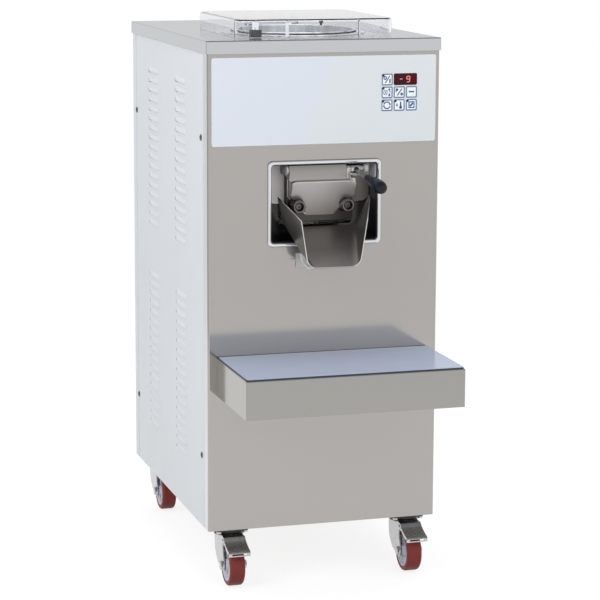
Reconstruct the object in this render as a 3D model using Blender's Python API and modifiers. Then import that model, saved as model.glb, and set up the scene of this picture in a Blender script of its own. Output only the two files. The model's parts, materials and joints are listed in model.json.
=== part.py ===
"""Upright batch freezer on castors, built piece by piece.

Lengths are in metres and +Z is up. Pieces are drawn in machine coordinates: X runs to the right as the
person serving sees the front, Y runs back from the front panel's outer face, and Z is height above the
floor. The machine empty carries them all, and puts the origin on the floor under the middle of the
machine's box. Each moving group hangs on an empty that sits on its axis.
"""

import math

import bmesh
import bpy
from mathutils import Matrix, Vector

MM = 0.001
GAP = 0.3 * MM
WELD = 0.01 * MM

# Cabinet
BODY_WIDTH = 460 * MM
BODY_DEPTH = 640 * MM
PANEL_BOTTOM = 110 * MM
CABINET_TOP = 1053 * MM
CAP_LIP = 24.5 * MM
CAP_OVERHANG = 2.5 * MM
SHEET = 1.5 * MM
CORNER_RADIUS = 4 * MM
PANEL_RETURN = 32 * MM
SIDE_FLANGE = 12 * MM
SEAM = 0.8 * MM
TRAY_INSET, TRAY_SHEET, TRAY_HEIGHT = 13 * MM, 2.5 * MM, 30 * MM
POST_SIZE, POST_INSET_X, POST_INSET_Y = 20 * MM, 19 * MM, 41 * MM
GLAND_X, GLAND_Z, GLAND_REACH = 150 * MM, 200 * MM, 20 * MM

# Front: overlay, keypad, outlet recess and shelf
OVERLAY_WIDTH, OVERLAY_BOTTOM, OVERLAY_TOP = 444 * MM, 855 * MM, 1021 * MM
OVERLAY_THICKNESS = 1.2 * MM
KEYPAD_X, KEYPAD_Z = 148 * MM, 950 * MM
KEY_SIZE, KEY_PITCH, KEY_PROUD, KEY_DEPTH = 22 * MM, 24.6 * MM, 0.4 * MM, 2.4 * MM
KEY_CORNER = 3 * MM
BOARD_Y, BOARD_THICKNESS = 2.4 * MM, 1.6 * MM
RECESS_Z = 742.5 * MM
RECESS_WIDTH, RECESS_HEIGHT, RECESS_DEPTH = 212 * MM, 150 * MM, 62 * MM
TRIM_WIDTH, TRIM_HEIGHT, TRIM_THICKNESS = 226 * MM, 165 * MM, 4 * MM
SHELF_WIDTH, SHELF_REACH = 425 * MM, 213 * MM
SHELF_BOTTOM, SHELF_TOP = 377 * MM, 450 * MM
MAT_THICKNESS, MAT_MARGIN = 3 * MM, 2 * MM

# Freezing cylinder and what turns in it
BARREL_Y = 210 * MM
BARREL_RADIUS, BARREL_WALL, JACKET_RADIUS = 118 * MM, 3 * MM, 134 * MM
BARREL_FLOOR, BARREL_BASE, COLLAR_TOP = 700 * MM, 690 * MM, 1060.5 * MM
BARREL_FLANGE_RADIUS = 140 * MM
SHAFT_RADIUS, SHAFT_CLEARANCE = 17.5 * MM, 1 * MM
VANE_COUNT, VANE_THICKNESS, VANE_BOTTOM, VANE_TOP = 3, 7 * MM, 710 * MM, 965 * MM
SCRAPER_INNER, SCRAPER_OUTER, SCRAPER_TOP = 110.5 * MM, 116.5 * MM, 980 * MM
PORT_WIDTH, PORT_BOTTOM, PORT_TOP = 120 * MM, 706 * MM, 765 * MM
OUTLET_FACE_Y, OUTLET_PLATE = 44 * MM, 4 * MM

# Drive and refrigeration
DECK_Z, DECK_THICKNESS = 620 * MM, 6 * MM
PULLEY_BOTTOM, PULLEY_TOP = 586 * MM, 610 * MM
DRIVEN_RADIUS, MOTOR_PULLEY_RADIUS, BELT_THICKNESS = 100 * MM, 32 * MM, 4 * MM
MOTOR_Y, MOTOR_RADIUS, MOTOR_SHAFT_RADIUS, MOTOR_TOP = 470 * MM, 70 * MM, 12 * MM, 575 * MM
COMPRESSOR_X, COMPRESSOR_Y, COMPRESSOR_RADIUS = -95 * MM, 170 * MM, 85 * MM
CONDENSER_LOW = Vector((170, 120, 150)) * MM
CONDENSER_HIGH = Vector((210, 500, 550)) * MM
FAN_CENTRE = Vector((140, 310, 350)) * MM
FAN_RADIUS, FAN_HUB_RADIUS, FAN_BLADES, FAN_PITCH = 125 * MM, 34 * MM, 5, 28

# Outlet hatch, lever and chute
HATCH_AXIS = Vector((0, 8, 805)) * MM
HATCH_SHAFT_RADIUS, HATCH_BARREL_RADIUS = 5 * MM, 9 * MM
HATCH_HALF_WIDTH, HATCH_BOTTOM, HATCH_TOP = 66 * MM, 699 * MM, 795 * MM
HATCH_FRONT_Y, HATCH_BACK_Y, HATCH_CORNER = 28 * MM, 39.7 * MM, 12 * MM
BOSS_X, BOSS_Z, BOSS_RADIUS, BOSS_HOLE = 49 * MM, 735 * MM, 11 * MM, 5.5 * MM
SEAL_WIDTH = 4 * MM
LEVER_X = 62 * MM
LEVER_RUN = Vector((15, -67, -18)).normalized()
LEVER_ARM_LENGTH, KNOB_LENGTH, KNOB_RADIUS = 49 * MM, 73 * MM, 13.5 * MM
CHUTE_SHEET, CHUTE_CORNER = 1.2 * MM, 20 * MM

# Lid
LID_WIDTH, LID_FRONT_Y, LID_REAR_Y, LID_TOP = 314 * MM, 52 * MM, 366 * MM, 1088 * MM
LID_WALL, LID_CORNER, LID_LIFT = 3 * MM, 26 * MM, 0.5 * MM
SPOUT_X, SPOUT_WIDTH, SPOUT_STEP, SPOUT_SLOT = 12 * MM, 148 * MM, 5 * MM, 13 * MM
LID_AXIS = Vector((0, 376, 1064)) * MM
LID_PIN_RADIUS, LID_KNUCKLE_RADIUS = 3 * MM, 7 * MM

# Castors
WHEEL_RADIUS, WHEEL_WIDTH, RIM_RADIUS = 40 * MM, 30 * MM, 31 * MM
CASTOR_X, CASTOR_INSET, CASTOR_TRAIL = 180 * MM, 36 * MM, 33 * MM
CASTOR_PLATE, CASTOR_PLATE_THICKNESS = 64 * MM, 4 * MM
RACEWAY_RADIUS, KINGPIN_RADIUS, AXLE_RADIUS = 28 * MM, 6 * MM, 6 * MM
CROWN_BOTTOM, CROWN_TOP = 93 * MM, 100.2 * MM
FORK_HALF_WIDTH, FORK_SHEET = 21 * MM, 2.5 * MM
PEDAL_PIVOT = Vector((0, -36, 91.5)) * MM
PEDAL_PIN_RADIUS, PEDAL_HALF_WIDTH = 3 * MM, 21.5 * MM

HALF_WIDTH = BODY_WIDTH / 2
PANEL_TOP = CABINET_TOP - SHEET - GAP
TRAY_BOTTOM = PANEL_BOTTOM + GAP
TRAY_FLOOR = TRAY_BOTTOM + TRAY_SHEET + GAP
ORIGIN_Y = (SHELF_REACH - BODY_DEPTH - GLAND_REACH) / 2

# Where each key sits in the keypad's three by three grid, as (column, row)
KEY_PLACES = {
    "key_power": (0, 0),
    "key_mix": (0, 1),
    "key_program": (1, 1),
    "key_minus": (2, 1),
    "key_cycle": (0, 2),
    "key_temperature": (1, 2),
    "key_confirm": (2, 2),
}
DISPLAY_CENTRE = (KEYPAD_X + KEY_PITCH / 2, KEYPAD_Z + KEY_PITCH)
DISPLAY_SIZE = (KEY_PITCH + KEY_SIZE, KEY_SIZE)

# Castor corners, as (side, distance of the swivel axis from the front panel, has a brake)
CASTORS = {
    "fl": (-1, CASTOR_INSET, True),
    "fr": (1, CASTOR_INSET, True),
    "rl": (-1, BODY_DEPTH - CASTOR_INSET, False),
    "rr": (1, BODY_DEPTH - CASTOR_INSET, False),
}

PLANE_FRAMES = {
    "XY": Matrix.Identity(4),
    "XZ": Matrix(((1, 0, 0, 0), (0, 0, -1, 0), (0, 1, 0, 0), (0, 0, 0, 1))),
    "YZ": Matrix(((0, 0, 1, 0), (1, 0, 0, 0), (0, 1, 0, 0), (0, 0, 0, 1))),
}
PLANE_NORMALS = {"XY": Vector((0, 0, 1)), "XZ": Vector((0, 1, 0)), "YZ": Vector((1, 0, 0))}


# Scene, finishes and pivots


def clear_scene():
    for obj in list(bpy.data.objects):
        bpy.data.objects.remove(obj, do_unlink=True)


def new_collection(name):
    made = bpy.data.collections.new(name)
    bpy.context.scene.collection.children.link(made)
    return made


def new_finish(name, colour, roughness, metallic=0.0, alpha=1.0):
    made = bpy.data.materials.new(name)
    made.use_nodes = True
    shader = made.node_tree.nodes["Principled BSDF"]
    shader.inputs["Base Color"].default_value = (*colour, 1.0)
    shader.inputs["Roughness"].default_value = roughness
    shader.inputs["Metallic"].default_value = metallic
    shader.inputs["Alpha"].default_value = alpha
    return made


clear_scene()
PARTS = new_collection("batch_freezer")
CUTTERS = new_collection("cutters")
MACHINE = bpy.data.objects.new("machine", None)
MACHINE.location.y = ORIGIN_Y
PARTS.objects.link(MACHINE)

STAINLESS = new_finish("stainless", (0.44, 0.42, 0.40), 0.32, 1.0)
POLISHED = new_finish("polished_steel", (0.66, 0.67, 0.68), 0.14, 1.0)
CAST_STEEL = new_finish("cast_steel", (0.42, 0.39, 0.36), 0.30, 1.0)
WHITE_PAINT = new_finish("white_paint", (0.70, 0.73, 0.76), 0.40)
OVERLAY_FILM = new_finish("overlay_film", (0.72, 0.76, 0.78), 0.12)
KEY_FILM = new_finish("key_film", (0.84, 0.87, 0.90), 0.25)
DISPLAY_RED = new_finish("display_red", (0.10, 0.01, 0.01), 0.15)
BLACK_PLASTIC = new_finish("black_plastic", (0.02, 0.02, 0.025), 0.35)
KNOB_PLASTIC = new_finish("knob_plastic", (0.015, 0.017, 0.04), 0.22)
CLEAR_PLASTIC = new_finish("clear_plastic", (0.80, 0.83, 0.88), 0.05, 0.0, 0.35)
MAT_PLASTIC = new_finish("mat_plastic", (0.34, 0.40, 0.52), 0.35)
ZINC = new_finish("zinc", (0.55, 0.55, 0.57), 0.28, 1.0)
RED_TYRE = new_finish("red_tyre", (0.22, 0.045, 0.04), 0.45)
HUB_PLASTIC = new_finish("hub_plastic", (0.55, 0.55, 0.66), 0.40)
RUBBER = new_finish("rubber", (0.03, 0.03, 0.03), 0.60)
WHITE_PLASTIC = new_finish("white_plastic", (0.80, 0.80, 0.78), 0.35)
MACHINE_PAINT = new_finish("machine_paint", (0.05, 0.055, 0.06), 0.45)
CAST_IRON = new_finish("cast_iron", (0.12, 0.12, 0.12), 0.55, 0.6)
ALUMINIUM = new_finish("aluminium", (0.60, 0.60, 0.61), 0.40, 1.0)


def pivot(name, location):
    """An empty on a joint's axis, which carries the pieces that move about it."""
    made = bpy.data.objects.new(name, None)
    made.location = location
    made.parent = MACHINE
    PARTS.objects.link(made)
    return made


# Shapes, as meshes in machine coordinates


def closed_mesh(shape):
    shape.normal_update()
    bmesh.ops.recalc_face_normals(shape, faces=shape.faces)
    return mesh_of(shape)


def mesh_of(shape):
    mesh = bpy.data.meshes.new("shape")
    shape.to_mesh(mesh)
    shape.free()
    return mesh


def face_away(shape, inside):
    """Turns an open surface's faces so that they point away from a place inside it."""
    shape.normal_update()
    facing = sum(f.normal.dot(f.calc_center_median() - Vector(inside)) for f in shape.faces)
    if facing < 0:
        bmesh.ops.reverse_faces(shape, faces=shape.faces)


def box(low, high):
    low, high = Vector(low), Vector(high)
    shape = bmesh.new()
    bmesh.ops.create_cube(shape, size=1.0)
    shape.transform(Matrix.Translation((low + high) / 2) @ Matrix.Diagonal((*(high - low), 1.0)))
    return closed_mesh(shape)


def rod(start, end, radius, sides=24):
    start, end = Vector(start), Vector(end)
    shape = bmesh.new()
    length = (end - start).length
    bmesh.ops.create_cone(
        shape, cap_ends=True, segments=sides, radius1=radius, radius2=radius, depth=length
    )
    turn = (end - start).to_track_quat("Z", "Y").to_matrix().to_4x4()
    shape.transform(Matrix.Translation((start + end) / 2) @ turn)
    return closed_mesh(shape)


def cross_rod(axis, left, right, radius, sides=24):
    """A rod along X through a point of an axis."""
    return rod((left, axis[1], axis[2]), (right, axis[1], axis[2]), radius, sides)


def arc(centre, radius, start, end, steps=6):
    """Points on an arc between two angles in degrees, both ends included."""
    angles = [math.radians(start + (end - start) * step / steps) for step in range(steps + 1)]
    return [(centre[0] + radius * math.cos(a), centre[1] + radius * math.sin(a)) for a in angles]


def rounded_rectangle(centre, width, height, radius, steps=4):
    points = []
    for quarter, (side, level) in enumerate(((1, 1), (-1, 1), (-1, -1), (1, -1))):
        across = centre[0] + side * (width / 2 - radius)
        up = centre[1] + level * (height / 2 - radius)
        points += arc((across, up), radius, 90 * quarter, 90 * quarter + 90, steps)
    return points


def plate(outlines, plane, low, high):
    """Flat outlines, the later ones holes or more bodies, filled and thick along the plane's normal."""
    curve = bpy.data.curves.new("outline", "CURVE")
    curve.dimensions = "2D"
    curve.fill_mode = "BOTH"
    curve.extrude = (high - low) / 2
    for outline in outlines:
        spline = curve.splines.new("POLY")
        spline.points.add(len(outline) - 1)
        for point, (across, up) in zip(spline.points, outline):
            point.co = (across, up, 0.0, 1.0)
        spline.use_cyclic_u = True
    guide = bpy.data.objects.new("outline", curve)
    CUTTERS.objects.link(guide)
    graph = bpy.context.evaluated_depsgraph_get()
    flat = bpy.data.meshes.new_from_object(guide.evaluated_get(graph))
    bpy.data.objects.remove(guide)
    bpy.data.curves.remove(curve)
    shape = bmesh.new()
    shape.from_mesh(flat)
    bpy.data.meshes.remove(flat)
    bmesh.ops.remove_doubles(shape, verts=shape.verts, dist=WELD)
    middle = PLANE_NORMALS[plane] * (low + high) / 2
    shape.transform(Matrix.Translation(middle) @ PLANE_FRAMES[plane])
    return closed_mesh(shape)


def wall(path, low, high, inside, closed=False):
    """An upright open surface that follows a path in plan and faces away from a place inside."""
    shape = bmesh.new()
    corners = [shape.verts.new((x, y, low)) for x, y in path]
    ends = corners[1:] + corners[:1] if closed else corners[1:]
    edges = [shape.edges.new(pair) for pair in zip(corners, ends)]
    raised = bmesh.ops.extrude_edge_only(shape, edges=edges)["geom"]
    tops = [item for item in raised if isinstance(item, bmesh.types.BMVert)]
    bmesh.ops.translate(shape, verts=tops, vec=(0, 0, high - low))
    if closed:
        rim = [item for item in raised if isinstance(item, bmesh.types.BMEdge)]
        rim = [edge for edge in rim if all(vert in tops for vert in edge.verts)]
        bmesh.ops.contextual_create(shape, geom=rim)
        shape.normal_update()
        bmesh.ops.recalc_face_normals(shape, faces=shape.faces)
    face_away(shape, (*inside, (low + high) / 2))
    return mesh_of(shape)


def open_box(low, high, open_sides):
    """A box's surface without the faces whose normals are listed."""
    shape = bmesh.new()
    shape.from_mesh(box(low, high))
    shape.normal_update()
    gone = [f for f in shape.faces if any(f.normal.dot(Vector(side)) > 0.9 for side in open_sides)]
    bmesh.ops.delete(shape, geom=gone, context="FACES")
    return mesh_of(shape)


def moved(mesh, matrix):
    mesh.transform(matrix)
    return mesh


# Pieces and what is done to them


def link(name, mesh, carrier, folder):
    obj = bpy.data.objects.new(name, mesh)
    mesh.name = name
    obj.parent = carrier
    folder.objects.link(obj)
    return obj


def piece(name, mesh, finish, carrier=MACHINE):
    """A piece drawn in machine coordinates, whose origin is the machine's or that of its pivot."""
    if carrier is not MACHINE:
        mesh.transform(Matrix.Translation(-carrier.location))
    mesh.materials.append(finish)
    return link(name, mesh, carrier, PARTS)


def boolean(obj, operation, *meshes):
    for mesh in meshes:
        other = link("helper", mesh, MACHINE, CUTTERS)
        other.hide_render = True
        other.display_type = "WIRE"
        modifier = obj.modifiers.new(operation.lower(), "BOOLEAN")
        modifier.operation = operation
        modifier.object = other
        modifier.solver = "EXACT"


def join(obj, *meshes):
    boolean(obj, "UNION", *meshes)


def cut(obj, *meshes):
    boolean(obj, "DIFFERENCE", *meshes)


def thicken(obj, thickness):
    """Gives an open surface a thickness, behind its faces."""
    modifier = obj.modifiers.new("sheet", "SOLIDIFY")
    modifier.thickness = thickness
    modifier.offset = -1
    modifier.use_even_offset = True


def round_edges(obj, width):
    modifier = obj.modifiers.new("edges", "BEVEL")
    modifier.width = width
    modifier.segments = 2
    modifier.limit_method = "ANGLE"
    modifier.angle_limit = math.radians(50)


def turned(name, profile, finish, origin, carrier=MACHINE, axis=(0, 0, 1), steps=32, ring=False):
    """A piece turned about an axis from (radius, height) points that run down its outer side."""
    count = len(profile)
    edges = [(i, i + 1) for i in range(count - 1)]
    if ring:
        edges.append((count - 1, 0))
    mesh = bpy.data.meshes.new(name)
    mesh.from_pydata([(radius, 0.0, height) for radius, height in profile], edges, [])
    mesh.materials.append(finish)
    obj = link(name, mesh, carrier, PARTS)
    obj.location = Vector(origin)
    if carrier is not MACHINE:
        obj.location -= carrier.location
    obj.rotation_mode = "QUATERNION"
    obj.rotation_quaternion = Vector(axis).to_track_quat("Z", "Y")
    screw = obj.modifiers.new("turn", "SCREW")
    screw.axis = "Z"
    screw.angle = 2 * math.pi
    screw.steps = steps
    screw.render_steps = steps
    screw.use_merge_vertices = True
    screw.merge_threshold = 0.05 * MM
    screw.use_smooth_shade = True
    return obj


# Cabinet


def front_panel():
    """The stainless front, folded back round both corners, with its recess and keypad openings."""
    corner = (HALF_WIDTH - CORNER_RADIUS, CORNER_RADIUS)
    right = [(HALF_WIDTH, PANEL_RETURN)] + arc(corner, CORNER_RADIUS, 0, -90, 4)
    left = [(-x, y) for x, y in reversed(right)]
    inside = (0, BODY_DEPTH / 2)
    panel = piece("front_panel", wall(right + left, PANEL_BOTTOM, PANEL_TOP, inside), STAINLESS)
    thicken(panel, SHEET)
    recess = Vector((RECESS_WIDTH / 2, 0, RECESS_HEIGHT / 2))
    keypad = Vector((KEY_PITCH, 0, KEY_PITCH)) * 1.55
    through = Vector((0, 3 * SHEET, 0))
    for centre, half in (((0, 0, RECESS_Z), recess), ((KEYPAD_X, 0, KEYPAD_Z), keypad)):
        cut(panel, box(Vector(centre) - half - through, Vector(centre) + half + through))


def rear_panel():
    """The stainless back, folded forward round both corners, with cooling slots and the gland's hole."""
    corner = (HALF_WIDTH - CORNER_RADIUS, BODY_DEPTH - CORNER_RADIUS)
    right = [(HALF_WIDTH, BODY_DEPTH - PANEL_RETURN)] + arc(corner, CORNER_RADIUS, 0, 90, 4)
    left = [(-x, y) for x, y in reversed(right)]
    inside = (0, BODY_DEPTH / 2)
    panel = piece("rear_panel", wall(right + left, PANEL_BOTTOM, PANEL_TOP, inside), STAINLESS)
    thicken(panel, SHEET)
    slot_x, slot_length, slot_height = 90 * MM, 130 * MM, 7 * MM
    first_slot, slot_pitch, rows = 290 * MM, 24 * MM, 10
    slots = []
    for side in (-1, 1):
        for row in range(rows):
            centre = (side * slot_x, first_slot + row * slot_pitch)
            slots.append(rounded_rectangle(centre, slot_length, slot_height, slot_height / 3, 1))
    back, through = BODY_DEPTH, 3 * SHEET
    cut(panel, plate(slots, "XZ", back - through, back + through))
    hole_radius = 10 * MM
    hole = rod((GLAND_X, back - through, GLAND_Z), (GLAND_X, back + through, GLAND_Z), hole_radius)
    cut(panel, hole)


def side_panel(name, side):
    """A painted side sheet with a narrow flange folded in at its two upright edges."""
    outer, inner = side * HALF_WIDTH, side * (HALF_WIDTH - SIDE_FLANGE)
    front, back = PANEL_RETURN + SEAM, BODY_DEPTH - PANEL_RETURN - SEAM
    path = [(inner, front), (outer, front), (outer, back), (inner, back)]
    inside = (0, BODY_DEPTH / 2)
    panel = piece(name, wall(path, PANEL_BOTTOM, PANEL_TOP, inside), WHITE_PAINT)
    thicken(panel, SHEET)


def top_cover():
    half = HALF_WIDTH + CAP_OVERHANG
    low = (-half, -CAP_OVERHANG, CABINET_TOP - CAP_LIP)
    high = (half, BODY_DEPTH + CAP_OVERHANG, CABINET_TOP)
    cover = piece("top_cover", open_box(low, high, [(0, 0, -1)]), STAINLESS)
    round_edges(cover, 2 * MM)
    thicken(cover, SHEET)
    mouth = BARREL_RADIUS + BARREL_WALL + SEAM
    cut(cover, rod((0, BARREL_Y, CABINET_TOP - CAP_LIP), (0, BARREL_Y, LID_TOP), mouth, 48))


def base_tray():
    half = HALF_WIDTH - TRAY_INSET
    low = (-half, SHEET + 2 * GAP, TRAY_BOTTOM)
    high = (half, BODY_DEPTH - SHEET - 2 * GAP, TRAY_BOTTOM + TRAY_HEIGHT)
    tray = piece("base_tray", open_box(low, high, [(0, 0, 1)]), STAINLESS)
    thicken(tray, TRAY_SHEET)


def machine_deck():
    """The inner frame: four posts, and the deck that carries the freezing cylinder's bearing."""
    half = HALF_WIDTH - POST_INSET_X + 1 * MM
    front, back = POST_INSET_Y - 1 * MM, BODY_DEPTH - POST_INSET_Y + 1 * MM
    edge = [(-half, front), (half, front), (half, back), (-half, back)]
    bearing_hole = arc((0, BARREL_Y), 40 * MM, 0, 345, 23)
    deck_mesh = plate([edge, bearing_hole], "XY", DECK_Z, DECK_Z + DECK_THICKNESS)
    deck = piece("machine_deck", deck_mesh, ALUMINIUM)
    outer = HALF_WIDTH - POST_INSET_X
    for side in (-1, 1):
        xs = sorted((side * outer, side * (outer - POST_SIZE)))
        for near in (POST_INSET_Y, BODY_DEPTH - POST_INSET_Y - POST_SIZE):
            join(deck, box((xs[0], near, TRAY_FLOOR), (xs[1], near + POST_SIZE, PANEL_TOP)))


def cable_gland():
    """The mains cable's gland, with its threaded end through the rear panel."""
    bore, thread, nut, dome = 4 * MM, 9.5 * MM, 15 * MM, 12 * MM
    tip = GLAND_REACH - GAP
    profile = [(bore, tip), (7 * MM, tip), (dome, 13 * MM), (dome, 9 * MM), (nut, 9 * MM), (nut, 0)]
    profile += [(thread, 0), (thread, -8 * MM), (bore, -8 * MM)]
    place = (GLAND_X, BODY_DEPTH + GAP, GLAND_Z)
    turned("cable_gland", profile, BLACK_PLASTIC, place, axis=(0, 1, 0), steps=24, ring=True)


# Control panel


def key_centre(place):
    column, row = place
    return (KEYPAD_X + (column - 1) * KEY_PITCH, KEYPAD_Z + (1 - row) * KEY_PITCH)


def control_overlay():
    middle = (0, (OVERLAY_BOTTOM + OVERLAY_TOP) / 2)
    outlines = [rounded_rectangle(middle, OVERLAY_WIDTH, OVERLAY_TOP - OVERLAY_BOTTOM, 8 * MM)]
    window = KEY_SIZE + 2 * GAP
    for place in KEY_PLACES.values():
        outlines.append(rounded_rectangle(key_centre(place), window, window, KEY_CORNER, 2))
    display = (DISPLAY_SIZE[0] + 2 * GAP, DISPLAY_SIZE[1] + 2 * GAP)
    outlines.append(rounded_rectangle(DISPLAY_CENTRE, *display, KEY_CORNER, 2))
    front = -GAP - OVERLAY_THICKNESS
    piece("control_overlay", plate(outlines, "XZ", front, -GAP), OVERLAY_FILM)


def keys():
    front = -GAP - OVERLAY_THICKNESS - KEY_PROUD
    for name, place in KEY_PLACES.items():
        outline = rounded_rectangle(key_centre(place), KEY_SIZE, KEY_SIZE, KEY_CORNER, 2)
        piece(name, plate([outline], "XZ", front, front + KEY_DEPTH), KEY_FILM)


def keypad_board():
    """The circuit board behind the keys, with the display block that shows through the overlay."""
    half = KEY_PITCH * 1.6
    low = (KEYPAD_X - half, BOARD_Y, KEYPAD_Z - half)
    high = (KEYPAD_X + half, BOARD_Y + BOARD_THICKNESS, KEYPAD_Z + half)
    board = piece("keypad_board", box(low, high), DISPLAY_RED)
    block = rounded_rectangle(DISPLAY_CENTRE, *DISPLAY_SIZE, KEY_CORNER, 2)
    join(board, plate([block], "XZ", -GAP - OVERLAY_THICKNESS, BOARD_Y + BOARD_THICKNESS / 2))


# Outlet recess and shelf


def recess_liner():
    edge = 0.5 * MM
    half, tall = RECESS_WIDTH / 2 - edge, RECESS_HEIGHT / 2 - edge
    low, high = (-half, edge, RECESS_Z - tall), (half, RECESS_DEPTH, RECESS_Z + tall)
    liner = piece("recess_liner", open_box(low, high, [(0, -1, 0)]), BLACK_PLASTIC)
    thicken(liner, 1 * MM)
    spout = PORT_WIDTH / 2 + 14 * MM
    low = (-spout, RECESS_DEPTH / 2, PORT_BOTTOM - 14 * MM)
    cut(liner, box(low, (spout, RECESS_DEPTH * 2, PORT_TOP + 14 * MM)))


def recess_trim():
    outer = rounded_rectangle((0, RECESS_Z), TRIM_WIDTH, TRIM_HEIGHT, 10 * MM)
    inner = rounded_rectangle((0, RECESS_Z), RECESS_WIDTH - 1 * MM, RECESS_HEIGHT - 1 * MM, 6 * MM)
    piece("recess_trim", plate([outer, inner], "XZ", -GAP - TRIM_THICKNESS, -GAP), POLISHED)


def shelf():
    half = SHELF_WIDTH / 2
    low, high = (-half, -SHELF_REACH, SHELF_BOTTOM), (half, -GAP, SHELF_TOP)
    body = piece("shelf_body", open_box(low, high, [(0, 0, -1), (0, 1, 0)]), STAINLESS)
    round_edges(body, 2 * MM)
    thicken(body, SHEET)
    depth = SHELF_REACH - 2 * MAT_MARGIN
    centre = (0, -SHELF_REACH / 2)
    outline = rounded_rectangle(centre, SHELF_WIDTH - 2 * MAT_MARGIN, depth, 4 * MM)
    base = SHELF_TOP + GAP
    piece("shelf_mat", plate([outline], "XY", base, base + MAT_THICKNESS), MAT_PLASTIC)


# Freezing cylinder and drive


def around_barrel(mesh, index):
    """Turns a shape that points along +X from the barrel's axis to one vane's place."""
    angle = math.radians(90 + 360 * index / VANE_COUNT)
    return moved(mesh, Matrix.Translation((0, BARREL_Y, 0)) @ Matrix.Rotation(angle, 4, "Z"))


def freezing_cylinder():
    """The jacketed barrel, with its outlet duct, the plate at the duct's mouth and the hatch's ears."""
    outer = BARREL_RADIUS + BARREL_WALL
    flange_low, flange_high = CABINET_TOP + GAP, CABINET_TOP + 2.6 * MM
    jacket_top, shoulder = 905 * MM, 920 * MM
    profile = [(0, COLLAR_TOP), (outer, COLLAR_TOP), (outer, flange_high)]
    profile += [(BARREL_FLANGE_RADIUS, flange_high), (BARREL_FLANGE_RADIUS, flange_low)]
    profile += [(outer, flange_low), (outer, shoulder), (JACKET_RADIUS, jacket_top)]
    profile += [(JACKET_RADIUS, BARREL_BASE), (0, BARREL_BASE)]
    barrel = turned("freezing_cylinder", profile, POLISHED, (0, BARREL_Y, 0))
    duct_half, duct_low, duct_high = PORT_WIDTH / 2 + 12 * MM, PORT_BOTTOM - 12 * MM, PORT_TOP + 12 * MM
    duct_front = OUTLET_FACE_Y + OUTLET_PLATE / 2
    duct = box((-duct_half, duct_front, duct_low), (duct_half, BARREL_Y - 60 * MM, duct_high))
    wide, narrow = RECESS_WIDTH / 2 - 2.5 * MM, 80 * MM
    right = [(narrow, 692 * MM), (narrow, 708 * MM), (wide, 730 * MM), (wide, 813.5 * MM)]
    left = [(-x, z) for x, z in reversed(right)]
    mouth_plate = plate([right + left], "XZ", OUTLET_FACE_Y, OUTLET_FACE_Y + OUTLET_PLATE)
    join(barrel, duct, mouth_plate)
    ear_radius, ear_width = 9.5 * MM, 8 * MM
    axis = (HATCH_AXIS.y, HATCH_AXIS.z)
    ear = arc(axis, ear_radius, 90, 270) + [(duct_front, axis[1] - ear_radius)]
    ear.append((duct_front, axis[1] + ear_radius))
    for ear_left in (-84 * MM, 80 * MM):
        join(barrel, plate([ear], "YZ", ear_left, ear_left + ear_width))
    above, below = LID_TOP, BARREL_BASE - 10 * MM
    cavity = rod((0, BARREL_Y, BARREL_FLOOR), (0, BARREL_Y, above), BARREL_RADIUS, 32)
    shaft_hole = SHAFT_RADIUS + SHAFT_CLEARANCE
    shaft_way = rod((0, BARREL_Y, below), (0, BARREL_Y, BARREL_FLOOR + 10 * MM), shaft_hole)
    half = PORT_WIDTH / 2
    port = box((-half, 0, PORT_BOTTOM), (half, BARREL_Y - 70 * MM, PORT_TOP))
    bores = cross_rod(HATCH_AXIS, -100 * MM, 100 * MM, HATCH_SHAFT_RADIUS + GAP)
    cut(barrel, cavity, shaft_way, port, bores)


def agitator(axis):
    """The stirrer: shaft, hub and column turned in one, with upright vanes, and its scraper cage."""
    column, hub = 16 * MM, 26 * MM
    hub_bottom, hub_top, column_top, tip = 700.8 * MM, 735 * MM, 985 * MM, 995 * MM
    shaft_end = PULLEY_BOTTOM - 6 * MM
    profile = [(0, tip), (10 * MM, tip - 2 * MM), (column, column_top), (column, hub_top)]
    profile += [(hub, hub_top - 2 * MM), (hub, hub_bottom), (SHAFT_RADIUS, hub_bottom)]
    profile += [(SHAFT_RADIUS, shaft_end), (0, shaft_end)]
    stirrer = turned("agitator", profile, POLISHED, (0, BARREL_Y, 0), axis, steps=24)
    half, reach = VANE_THICKNESS / 2, SCRAPER_INNER - GAP
    for index in range(VANE_COUNT):
        vane = box((column / 2, -half, VANE_BOTTOM), (reach, half, VANE_TOP))
        join(stirrer, around_barrel(vane, index))
    ring_bottom = SCRAPER_TOP - 10 * MM
    ring = [(SCRAPER_INNER, SCRAPER_TOP), (SCRAPER_OUTER, SCRAPER_TOP)]
    ring += [(SCRAPER_OUTER, ring_bottom), (SCRAPER_INNER, ring_bottom)]
    place = (0, BARREL_Y, 0)
    cage = turned("scraper_cage", ring, WHITE_PLASTIC, place, axis, ring=True)
    strip_half, margin = 7 * MM, 0.2 * MM
    for index in range(VANE_COUNT):
        low = (SCRAPER_INNER + margin, -strip_half, BARREL_FLOOR + 4 * MM)
        high = (SCRAPER_OUTER - margin, strip_half, SCRAPER_TOP - 4 * MM)
        join(cage, around_barrel(box(low, high), index))


def bearing_housing():
    bore, body, foot, top = SHAFT_RADIUS + SHAFT_CLEARANCE, 42 * MM, 60 * MM, 55 * MM
    low, high = DECK_Z + DECK_THICKNESS + GAP, BARREL_BASE - GAP
    foot_height, flange = 12 * MM, 8 * MM
    profile = [(bore, high), (top, high), (top, high - flange), (body, high - flange)]
    profile += [(body, low + foot_height), (foot, low + foot_height), (foot, low), (bore, low)]
    turned("bearing_housing", profile, CAST_IRON, (0, BARREL_Y, 0), steps=20, ring=True)


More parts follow.
